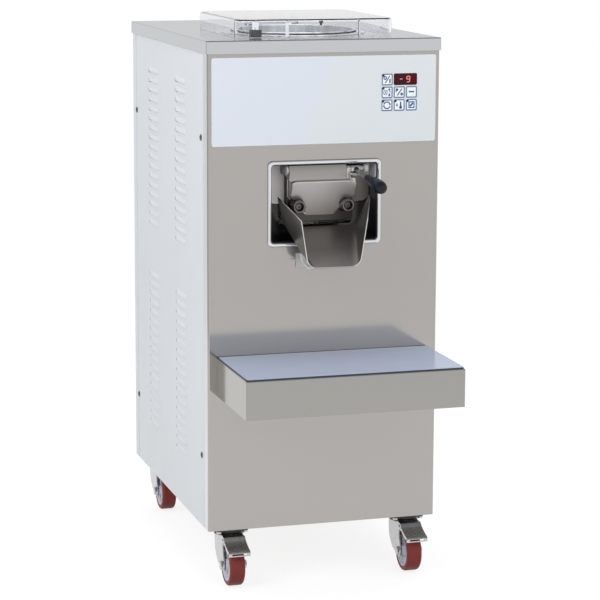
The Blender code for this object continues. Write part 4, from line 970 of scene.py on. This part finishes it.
def stirrer():
    box, axis, vanes = Box("agitator"), PIVOT["stirrer_spin"], 3
    place, bottom, top = axis.xy.to_3d(), box.low.z, box.high.z
    column, hub, shaft, hub_top, hub_bottom = 16, 26, 17.5, 735, axis.z + 0.8
    profile = [(0, top), (8, top - 1), (13, top - 4), (column, top - 10), (column, hub_top + 6)]
    profile += [(18, hub_top + 1), (hub, hub_top - 3), (hub, hub_bottom), (shaft, hub_bottom)]
    profile += [(shaft, bottom), (0, bottom)]
    half, root, reach, tip, notch, vane_low, vane_high = 3.5, column / 2, 110, 14, 60, 710, 965
    outline = [(root, vane_low), (reach, vane_low), (reach, vane_high), (reach - tip, vane_high)]
    outline += [(reach - notch, vane_high - notch), (root, vane_high - notch)]
    blades = around(slab([outline], "XZ", -half, half), axis, vanes)
    piece("stirrer_vanes", joined(lathe(profile, place), *blades), POLISHED, "agitator", 0.8)
    box = Box("scraper_cage")
    bottom, top = box.low.z, box.high.z
    inner, outer, edge, strip_half, gap = 110.5, 116.5, 0.8, 7, 0.2
    under = top - 10
    profile = [(inner + edge, top), (outer - edge, top), (outer, top - edge), (outer, under + edge)]
    profile += [(outer - edge, under), (inner + edge, under), (inner, under + edge), (inner, top - edge)]
    strip = block((inner + gap, -strip_half, bottom), (outer - gap, strip_half, (top + under) / 2))
    meshes = [lathe(profile, place, steps=96, ring=True), *around(strip, axis, vanes)]
    piece("scraper", joined(*meshes), WHITE_PLASTIC, "scraper_cage", 0.5)


# Outlet hatch, lever and chute


def hatch_blank():
    """The door with a tongue that stands proud of its flange, room for two bosses, and round shoulders."""
    box, face, step = Box("outlet_door"), HATCH_FACE, HATCH_STEP
    left, right = box.low.x - step, box.high.x + step
    foot_half, foot_z, wide_z = 23, 709.5, 758
    tongue = [(-foot_half, foot_z), (foot_half, foot_z), (right, wide_z), (right, wide_z + step)]
    tongue += [(left, wide_z + step), (left, wide_z)]
    beside = block((left, face - step, box.low.z - step), (right, face + step, wide_z))
    for outline in (tongue, *(disc(boss, BOSS_RADIUS) for boss in BOSSES)):
        beside = carved(beside, slab([outline], "XZ", face - 2 * step, face + 2 * step))
    door = carved(node_shape("outlet_door"), beside)
    for boss in BOSSES:
        door = carved(door, slab([disc(boss, BOSS_RADIUS + step)], "XZ", FRONT - 5, FRONT + 20))
    toe = from_front((27.6, 718.4), (36, 701.3), (20, 701.3), (20, 718.4))
    door = carved(door, slab([toe], "YZ", -2 * foot_half, 2 * foot_half))
    ridge, shoulder = 784, 15
    for side, end in ((-1, 180), (1, 0)):
        edge = right if side > 0 else left
        middle = Vector((edge - side * (step + shoulder), ridge - shoulder))
        outline = arc(middle, shoulder, 90, end, 10)
        outline += [(edge, middle.y), (edge, ridge + step), (middle.x, ridge + step)]
        door = carved(door, slab([outline], "XZ", FRONT - 3 * step, FRONT + 2.2 * step))
    return door


def hatch():
    node, axis, step = "outlet_door", PIVOT["hatch_swing"], HATCH_STEP
    box = Box(node)
    left, right, bottom = box.low.x - step, box.high.x + step, box.low.z - step
    # A hood over the shaft takes the place of the barrel: a fascia, and a roof that slopes up to the rear.
    hood_left, hood_right, cheek_right, cheek_radius = -70, 44, 52.5, 9
    fascia = from_front((0, 784.5), (0, 786.5), (-2, 799), (2.5, 814.6))
    rear = from_front((12, 814.6), (17, 808), (17, 790), (10, 786))
    piece("hatch_hood", slab([fascia + rear], "YZ", hood_left, hood_right), HOOD_STEEL, node, 0.8, 3)
    sink, clear_y, clear_z = 0.6, FRONT - 20, 830
    above = [(y + sink, z) for y, z in fascia[1:]]
    above += [(fascia[-1][0], clear_z), (clear_y, clear_z), (clear_y, fascia[1][1])]
    door = carved(hatch_blank(), slab([above], "YZ", hood_left - step, hood_right + step))
    cheek = arc(axis.yz, cheek_radius, 0, 180, 12)
    cheek += [(axis.y - cheek_radius, 787), (axis.y + cheek_radius, 792)]
    piece("hatch_cheek", slab([cheek], "YZ", hood_right, cheek_right), BAR_STEEL, node, 0.8, 3)
    # The flange behind the tongue is split off in a much darker steel: painted shade, where the tongue and
    # the recess shade it.
    parting, back, flange_low, flange_high = HATCH_FACE + step - 0.4, FRONT + 60, 703, 790
    behind = block((left, parting, bottom), (right, back, flange_high))
    flange = carved(node_shape(node), behind.copy(), "INTERSECT")
    flange = carved(flange, block((left, HATCH_FACE - step, bottom), (right, back, flange_low)))
    piece("hatch_flange", flange, SHADED_FLANGE_STEEL, node, 0.8, 3)
    casting = cast(carved(door, behind), voxel=0.7, rounds=5, keep=0.35)
    piece("hatch_casting", casting, CAST_STEEL, node, sharp=70)
    hatch_bosses()
    piece("hatch_seal", node_shape("door_seal"), RUBBER, "door_seal", 0.5)


def hatch_bosses():
    """Each boss is a collar with a round lip, and holds a socket screw."""
    node, seat = "outlet_door", 16
    outer, bore, length, root, lip = 12.6, 7.8, 28, 15.5, 2.4
    collar = [(bore, seat)] + arc((outer - lip, length - lip), lip, 180, 0, 10)
    collar += [(outer, 7), (outer + 1, 3), (root, 0), (0, 0), (0, seat)]
    collars = [lathe(collar, (x, HATCH_FACE, z), -Y, 40) for x, z in BOSSES]
    piece("hatch_bosses", joined(*collars), BOSS_STEEL, node, sharp=60)
    screw = [(0, 2), (3, 2), (3.3, 5), (5.4, 5), (6, 4.2), (6, -2), (0, -2)]
    screws = [lathe(screw, (x, HATCH_FACE - seat, z), -Y, 24) for x, z in BOSSES]
    piece("hatch_screws", joined(*screws), DARK_STEEL, node)


def lever():
    axis, shaft, edge, left = PIVOT["hatch_swing"], 5, 1.2, -71
    profile = rod_profile(shaft, Box("hatch_lever").high.x - left, edge)
    piece("hatch_shaft", lathe(profile, (left, axis.y, axis.z), X, 40), EAR_STEEL, "hatch_lever")
    hub, hub_half, root = 9, 9, Vector((62, axis.y, axis.z))
    end = 2 * hub_half
    sleeve = [(0, end), (hub - 2 * edge, end), (hub - edge / 2, end - edge / 2), (hub, end - 2 * edge)]
    sleeve += [(hub, 2 * edge), (hub - edge / 2, edge / 2), (hub - 2 * edge, 0), (0, 0)]
    run = Vector((15, -67, -18)).normalized()
    arm_length, collar, knob_length, knob_radius = 49, shaft + 1, 63, 12.6
    arm = [(0, arm_length), (shaft, arm_length), (shaft, 14), (collar, 9), (collar, 0), (0, 0)]
    body = carved(lathe(sleeve, root - hub_half * X, X, 40), lathe(arm, root, run, 32), "UNION")
    piece("lever_bar", body, BAR_STEEL, "hatch_lever", sharp=50)
    # The knob's heights and radii, as shares of its length and greatest radius.
    shares = [(0, 0.46), (0.03, 0.52), (0.16, 0.6), (0.36, 0.78), (0.55, 0.94), (0.72, 1), (0.85, 0.97)]
    shares += [(0.95, 0.78), (0.985, 0.46), (1, 0)]
    profile = [(0, 0)] + [(knob_radius * wide, knob_length * along) for along, wide in smooth_line(shares)]
    grip = lathe(profile, root + run * arm_length, run)
    piece("lever_grip", grip, KNOB_PLASTIC, "lever_knob", sharp=60)


def chute():
    piece("chute_trough", node_shape("chute"), SHADED_CHUTE_STEEL, "chute", 0.35)
    piece("chute_edge", tube(chute_rim(), 1.1), POLISHED, "chute", sharp=60)
    node, back, thick = "chute_bracket", FRONT - 0.3, 2
    box = Box(node)
    outline = rounded_rectangle((0, box.middle.z), *box.size.xz, 3)
    piece("bracket_plate", slab([outline], "XZ", back - thick, back), PLATE_STEEL, node, 0.4)
    # The arm's line seen from the side: out of the plate, down, and out under the chute.
    arm_x, section = 44, rounded_rectangle((0, 0), 13, 2.6, 1.2, 3)
    line = [(back, 645), (back - 7, 643.5), (back - 14, 636.5), (back - 30, 630.5), (box.low.y, 627)]
    arms = []
    for x in (-arm_x, arm_x):
        rings = [[(x + u, y, z + v) for u, v in section] for y, z in smooth_line(line)]
        arms.append(loft(rings, caps=True))
    piece("bracket_arms", joined(*arms), WHITE_PLASTIC, node, sharp=50)


def chute_rim():
    """The chute's free edge, from the rear of its right wall round the lip to the rear of its left wall."""
    floor_z, floor_half, corner = 628, 51.5, 20
    wall = [(80, 23, 718), (83, 16, 726), (92, 0, 755), (78, -34, 736), (65, -66.4, 718)]
    right = [(x, FRONT + y, z) for x, y, z in wall]
    lip_x, lip_y, lip_z = right[-1]
    lean = math.atan((lip_x - floor_half) / (lip_z - floor_z))
    reach = corner * math.tan((math.pi / 2 - lean) / 2)
    middle = (floor_half - reach, floor_z + corner)
    right += [(x, lip_y, z) for x, z in arc(middle, corner, -math.degrees(lean), -90, 6)]
    return [Vector(point) for point in right + mirrored(right)]


def tube(path, radius, sides=10):
    """A round bead along a path, with mitred bends."""
    rings = []
    for index, point in enumerate(path):
        ahead = (path[min(index + 1, len(path) - 1)] - point).normalized()
        behind = (point - path[max(index - 1, 0)]).normalized()
        along = (ahead + behind).normalized()
        across = along.cross(Vector((0, 0.6, 0.8))).normalized()
        over = across.cross(along)
        rings.append([point + across * u + over * v for u, v in disc((0, 0), radius, sides)])
    return loft(rings, caps=True)


# Lid


def lid():
    box, axis = Box("lid_cover"), PIVOT["lid_hinge"]
    low, high = box.low, box.high
    corner, wall, step, slope = 26, 3, 5, 3
    front, rear, half = low.y + step, axis.y - 10, box.size.x / 2 - corner
    spout_x, spout_half = 12, 74
    left, right = spout_x - spout_half, spout_x + spout_half
    path = arc((half, rear - corner), corner, 0, 90, 12) + arc((-half, rear - corner), corner, 90, 180, 12)
    path += arc((-half, front + corner), corner, 180, 270, 12)
    path += [(left, front), (left + slope, low.y), (right - slope, low.y), (right, front)]
    path += arc((half, front + corner), corner, 270, 360, 12)
    cover = pressed(slab([path], "XY", low.z, high.z), [-Z], wall, 5, 5, 60)
    slot_half, slot_top = spout_half - 8, low.z + 13
    slot_low = (spout_x - slot_half, low.y - step, low.z - step)
    cover = carved(cover, block(slot_low, (spout_x + slot_half, front + 2 * step, slot_top)))
    radius, bore, knuckle_x, knuckle_half, root = 7, 3.3, 45, 4, rear - wall / 2
    knuckle = arc(axis.yz, radius, -90, 90, 12) + [(root, axis.z + radius), (root, axis.z - radius)]
    for x in (-knuckle_x, knuckle_x):
        ear = slab([knuckle, disc(axis.yz, bore)], "YZ", x - knuckle_half, x + knuckle_half)
        cover = carved(cover, ear, "UNION")
    piece("lid_shell", cover, CLEAR_PLASTIC, "lid_cover")
    # Thin pale strips just proud of the spout's stepped walls: painted highlights where the clear walls'
    # edges catch the light.
    strips, overlap, proud = [], 1.2, 0.15
    for x, turn in ((left, 1), (right, -1)):
        line = [(x - turn * overlap, front), (x, front), (x + turn * slope, low.y)]
        line += [(x + turn * (slope + overlap), low.y)]
        rings = [[(u, v - proud, z) for u, v in line] for z in (low.z + 2, high.z - 6)]
        strips.append(thickened(loft(rings, closed=False), 0.25, 0))
    piece("spout_edge_highlights", joined(*strips), EDGE_HIGHLIGHT_PLASTIC, "lid_cover")
    lid_fittings(low.y + wall, high.z, wall)


def lid_fittings(front, roof, wall):
    """The magnet under the roof, the boss that holds it, and the stop behind the spout."""
    magnet = Box("lid_magnet")
    piece("magnet_block", block(magnet.low, magnet.high), BLACK_PLASTIC, "lid_magnet", 1.2, 3)
    top, foot = roof - 0.6 * wall, magnet.high.z + 0.2
    stem = lathe([(0, top), (7, top), (6, foot), (0, foot)], magnet.middle.xy.to_3d(), steps=32)
    piece("magnet_boss", stem, CLEAR_PLASTIC, "lid_magnet")
    profile = [(0, 0.5), (4, 0.5), (4.4, -2), (2.6, -6), (1.6, -9), (0, -9.4)]
    stop = lathe(profile, (8, front + 5, roof - wall), steps=24)
    piece("lid_stop", stop, BLACK_PLASTIC, "lid_cover")


def lid_hinge():
    node, axis = "lid_hinge_bracket", PIVOT["lid_hinge"]
    box, thick, radius, bore, ear_wide = Box(node), 2, 6, 3.3, 5
    base = box.low.z
    plate = slab([rounded_rectangle(box.middle, *box.size.xy, 4)], "XY", base, base + thick)
    ear = arc(axis.yz, radius, 0, 180, 12) + [(axis.y - radius, base), (axis.y + radius, base)]
    ears = [slab([ear, disc(axis.yz, bore)], "YZ", left, left + ear_wide) for left in (-57, 52)]
    piece("hinge_bracket", joined(plate, *ears), POLISHED, node, 0.5)
    places = [(x, box.high.y - 8, base + thick) for x in (-40, 0, 40)]
    piece("hinge_screws", screw_heads(places, Z, 3.5), ZINC, node)
    pin = Box("lid_hinge_pin")
    rod = lathe(rod_profile(3, pin.size.x, 0.6), (pin.low.x, axis.y, axis.z), X, 32)
    piece("hinge_rod", rod, POLISHED, "lid_hinge_pin")


# Castors


def castor_plate(corner):
    node = "castor_plate_" + corner
    box, thick, bolt = Box(node), 4, 26
    middle, size, bottom, top = box.middle, box.size.x, box.low.z, box.high.z
    under = top - thick
    # The plate and its raceway are black: painted shade in part, for the dark band under the cabinet that is
    # partly the plate and partly its shadow.
    plate = slab([rounded_rectangle(middle, size, size, 7)], "XY", under, top)
    raceway = [(20, 0.5), (27, 0.5), (28, -1.5), (28, -4), (27, -5.4), (20, -5.4)]
    ring = lathe(raceway, (middle.x, middle.y, under), steps=64, ring=True)
    piece(f"castor_{corner}_plate", joined(plate, ring), MACHINE_PAINT, node, 0.5)
    kingpin = [(0, under), (6, under), (6, bottom + 7), (11.5, bottom + 5.5), (12, bottom + 1.5)]
    kingpin += [(10, bottom), (0, bottom)]
    meshes = [lathe(kingpin, middle.xy.to_3d(), steps=32)]
    for x in (-bolt, bolt):
        for y in (-bolt, bolt):
            meshes.append(hexagon_head((middle.x + x, middle.y + y, under), -Z, 5.6, 4))
    piece(f"castor_{corner}_bolts", joined(*meshes), ZINC, node)


def castor_fork(corner):
    node, pedal = "castor_fork_" + corner, f"pedal_{corner}_press"
    swivel, axle = PIVOT[f"castor_{corner}_swivel"], PIVOT[f"wheel_{corner}_spin"]
    top, rim, bore = Box(node).high.z, 29, 7
    crown = [(bore, 0), (23, 0), (27, -1.2), (rim, -3.4), (rim, -6), (rim - 1.5, -7.2), (bore, -7.2)]
    meshes = [lathe(crown, (swivel.x, swivel.y, top), steps=64, ring=True)]
    # One leg seen from the side, about the swivel's axis, with a round tip about the axle.
    rear = smooth_line([(27, 98.5), (28.5, 80), (24, 57), (4, 37)], 4)
    tip = arc((axle.y - swivel.y, axle.z), 11, -60, -190)
    front = smooth_line([(-41, 52), (-32.5, 80), (-41, 85.5), (-42.5, 91), (-40, 97), (-24, 98.5)], 4)
    outline = [(swivel.y + y, z) for y, z in rear + tip + front]
    half, sheet = 21, 2.5
    for left in (swivel.x - half, swivel.x + half - sheet):
        meshes.append(slab([outline], "YZ", left, left + sheet))
    bridge = rounded_rectangle((swivel.x, swivel.y - 6), 2 * half - 1, 62, 5)
    meshes.append(slab([bridge, disc(swivel, 8)], "XY", top - 5.5, top - 3))
    piece(f"castor_{corner}_fork", joined(*meshes), ZINC, node, 0.7)
    bolt, bolt_half, washer_thick = 6, half + 4, 1.2
    end = 2 * bolt_half
    profile = [(0, end), (bolt - 0.5, end), (bolt, end - 0.8), (bolt, 0), (0, 0)]
    parts = [lathe(profile, axle - bolt_half * X, X, 24)]
    washer = [(bolt, washer_thick), (9.4, washer_thick), (9.6, 0.8), (9.6, 0), (bolt, 0)]
    for out in (-X, X):
        start = axle + half * out
        parts.append(lathe(washer, start, out, 32, ring=True))
        parts.append(hexagon_head(start + washer_thick * out, out, 8.6, 3.8))
    if pedal in PIVOT:
        pin = [(0, 2 * half), (3, 2 * half), (3, 0), (0, 0)]
        parts.append(lathe(pin, PIVOT[pedal] - half * X, X, 24))
    piece(f"castor_{corner}_axle", joined(*parts), ZINC, node)


def castor_wheel(corner):
    axle = PIVOT[f"wheel_{corner}_spin"]
    hub, tyre = Box("wheel_hub_" + corner).size / 2, Box("wheel_tyre_" + corner).size / 2
    bore, boss, web, well, edge = 6.3, 12, 11, 27.5, 0.8
    rim, rim_half = hub.z, tyre.x - 0.5
    right = [(bore, hub.x), (boss - edge, hub.x), (boss, hub.x - edge), (boss + 1, web + 1), (boss + 3, web)]
    right += [(well - 3, web), (well - 1, web + 1.5), (well, rim_half - edge), (well + edge, rim_half)]
    right += [(rim, rim_half)]
    meshes = [lathe(two_sided(right), axle, X, 64, ring=True)]
    ribs, rib_half = 6, 1.3
    for index in range(ribs):
        rib = block((-web - 2, -rib_half, boss - 1), (web + 2, rib_half, well + 1))
        turn = Matrix.Rotation(2 * math.pi * index / ribs, 4, "X")
        meshes.append(moved(rib, Matrix.Translation(axle) @ turn))
    piece(f"wheel_{corner}_hub", joined(*meshes), HUB_PLASTIC, "wheel_hub_" + corner, 0.4)
    shoulder = 5
    right = [(rim + 0.2, tyre.x)] + arc((tyre.z - shoulder, tyre.x - shoulder), shoulder, 90, 0)
    tread = lathe(two_sided(right), axle, X, 96, ring=True)
    piece(f"wheel_{corner}_tyre", tread, RED_TYRE, "wheel_tyre_" + corner)


def brake_pedal(corner):
    node, pivot = "brake_pedal_" + corner, PIVOT[f"pedal_{corner}_press"]
    half, sheet = Box(node).size.x / 2, 2
    left, right = pivot.x - half, pivot.x + half
    # The tread's line seen from the side, about the pivot: a rolled top, a hollow, a lip.
    line = [(1.5, 5), (-4, 5.4), (-8.5, 2.6), (-14, -1.8), (-26, -7.2), (-38, -11.2), (-43.5, -12.6)]
    line += [(-46.3, -15), (-46.8, -18), (-46.6, -21.4)]
    rings = [[(x, pivot.y + y, pivot.z + z) for y, z in smooth_line(line, 4)] for x in (left, right)]
    tread = thickened(loft(rings, closed=False), sheet, 0)
    slot = block(pivot + Vector((-15, -50.6, -19.2)), pivot + Vector((15, -43.6, -16)))
    meshes = [carved(tread, slot)]
    cheek = [(-11.5, -1), (-26, -7.6), (-42, -13), (-40, -17.5), (-30, -16), (-13, -7)]
    outline = [(pivot.y + y, pivot.z + z) for y, z in cheek]
    for x in (left, right - sheet):
        meshes.append(slab([outline], "YZ", x, x + sheet))
    barrel_half, barrel, bore = 17.5, 6, 3.3
    profile = two_sided([(bore, barrel_half), (barrel, barrel_half)])
    meshes.append(lathe(profile, pivot, X, 32, ring=True))
    piece(f"pedal_{corner}_tread", joined(*meshes), ZINC, node, 0.4)


def castors():
    for corner in CORNERS:
        castor_plate(corner)
        castor_fork(corner)
        castor_wheel(corner)
        if f"pedal_{corner}_press" in PIVOT:
            brake_pedal(corner)


# Parts inside the cabinet keep their own shape


INNER_FINISHES = {
    "base_tray": BRUSHED_SHELF,
    "machine_deck": ALUMINIUM,
    "bearing_housing": CAST_IRON,
    "driven_pulley": CAST_IRON,
    "motor_pulley": CAST_IRON,
    "drive_belt": RUBBER,
    "drive_motor": MACHINE_PAINT,
    "compressor": MACHINE_PAINT,
    "condenser": ALUMINIUM,
    "condenser_fan": ALUMINIUM,
}


def inner_parts():
    for node, finish in INNER_FINISHES.items():
        NODES[node].data.materials.clear()
        NODES[node].data.materials.append(finish.material)


# Camera, floor and light, in metres


def camera():
    data = bpy.data.cameras.new("camera")
    data.sensor_width = SENSOR
    data.lens = FOCAL_PIXELS / FRAME_PIXELS * SENSOR
    data.shift_y = CAMERA_SHIFT
    obj = link("camera", data)
    obj.matrix_world = Matrix.Translation(CAMERA_PLACE)
    for angle, axis in ((-CAMERA_YAW, "Z"), (90 + CAMERA_PITCH, "X"), (CAMERA_ROLL, "Z")):
        obj.matrix_world = obj.matrix_world @ Matrix.Rotation(math.radians(angle), 4, axis)
    bpy.context.scene.camera = obj


def floor():
    radius, brightness, share = 2.6, 1.5, 0.55
    shape = bmesh.new()
    bmesh.ops.create_circle(shape, cap_ends=True, segments=96, radius=radius)
    obj = link("floor", mesh_of(shape))
    finish = Finish("floor", (0.5, 0.5, 0.5), 0.9, Specular_IOR_Level=0.0)
    glow = finish.node("Emission", Strength=brightness).outputs["Emission"]
    seen = finish.calculate("MULTIPLY", finish.seen_directly(), share)
    finish.show(finish.mix(seen, finish.shader.outputs["BSDF"], glow))
    obj.data.materials.append(finish.material)


def mirrored_room(nodes):
    """What shiny parts mirror: a white room that darkens to its ceiling, its back and its left."""
    direction = nodes.node("TexCoord").outputs["Generated"]
    split = nodes.node("SeparateXYZ", Vector=direction).outputs
    shade = (1.0, 1.0, 1.0, 1.0)
    for axis, stops in ROOM.items():
        span = nodes.node("MapRange", Value=split[axis], From_Min=-1.0).outputs["Result"]
        ramp = nodes.ramp(span, [((place + 1) / 2, (level,) * 3) for place, level in stops])
        product = nodes.node("Mix")
        product.data_type = "RGBA"
        product.blend_type = "MULTIPLY"
        shade = nodes.fill(product, Factor=1.0, A=shade, B=ramp).outputs["Result"]
    return shade


def world():
    made = bpy.data.worlds.new("studio")
    bpy.context.scene.world = made
    nodes = Nodes(made)
    soft = nodes.fill(nodes.tree.nodes["Background"], Color=(0.97, 0.985, 1.0, 1.0), Strength=0.73)
    white = nodes.node("Background", Color=(1, 1, 1, 1))
    room = nodes.node("Background", Color=mirrored_room(nodes))
    soft, white, room = (light.outputs["Background"] for light in (soft, white, room))
    seen = nodes.mix(nodes.seen_directly(), soft, white)
    reflected = nodes.node("LightPath").outputs["Is Glossy Ray"]
    nodes.feed(nodes.tree.nodes["World Output"].inputs["Surface"], nodes.mix(reflected, seen, room))


def softbox(name, place, width, height, watts):
    aim = Vector((0, 0, 0.6))
    data = bpy.data.lights.new(name, "AREA")
    data.shape = "RECTANGLE"
    data.size, data.size_y = width, height
    data.energy = watts
    obj = link(name, data)
    obj.location = place
    obj.rotation_euler = (aim - Vector(place)).to_track_quat("-Z", "Y").to_euler()
    obj.visible_glossy = False


def studio():
    world()
    floor()
    softbox("left_box", (-2.6, -1.6, 2.6), 1.6, 2.0, 48)
    softbox("front_box", (1.4, -3.4, 2.4), 2.4, 2.4, 26)
    softbox("top_box", (0.2, 0.4, 3.2), 2.0, 2.0, 26)


def main():
    camera()
    front_panel()
    rear_panel()
    side_panel("left_side_panel", -1)
    side_panel("right_side_panel", 1)
    top_cover()
    cable_gland()
    control_overlay()
    keys()
    display()
    recess_liner()
    recess_trim()
    shelf()
    shelf_mat()
    freezing_cylinder()
    stirrer()
    hatch()
    lever()
    chute()
    lid()
    lid_hinge()
    castors()
    inner_parts()
    studio()
    bpy.context.scene.view_settings.view_transform = "Standard"


main()
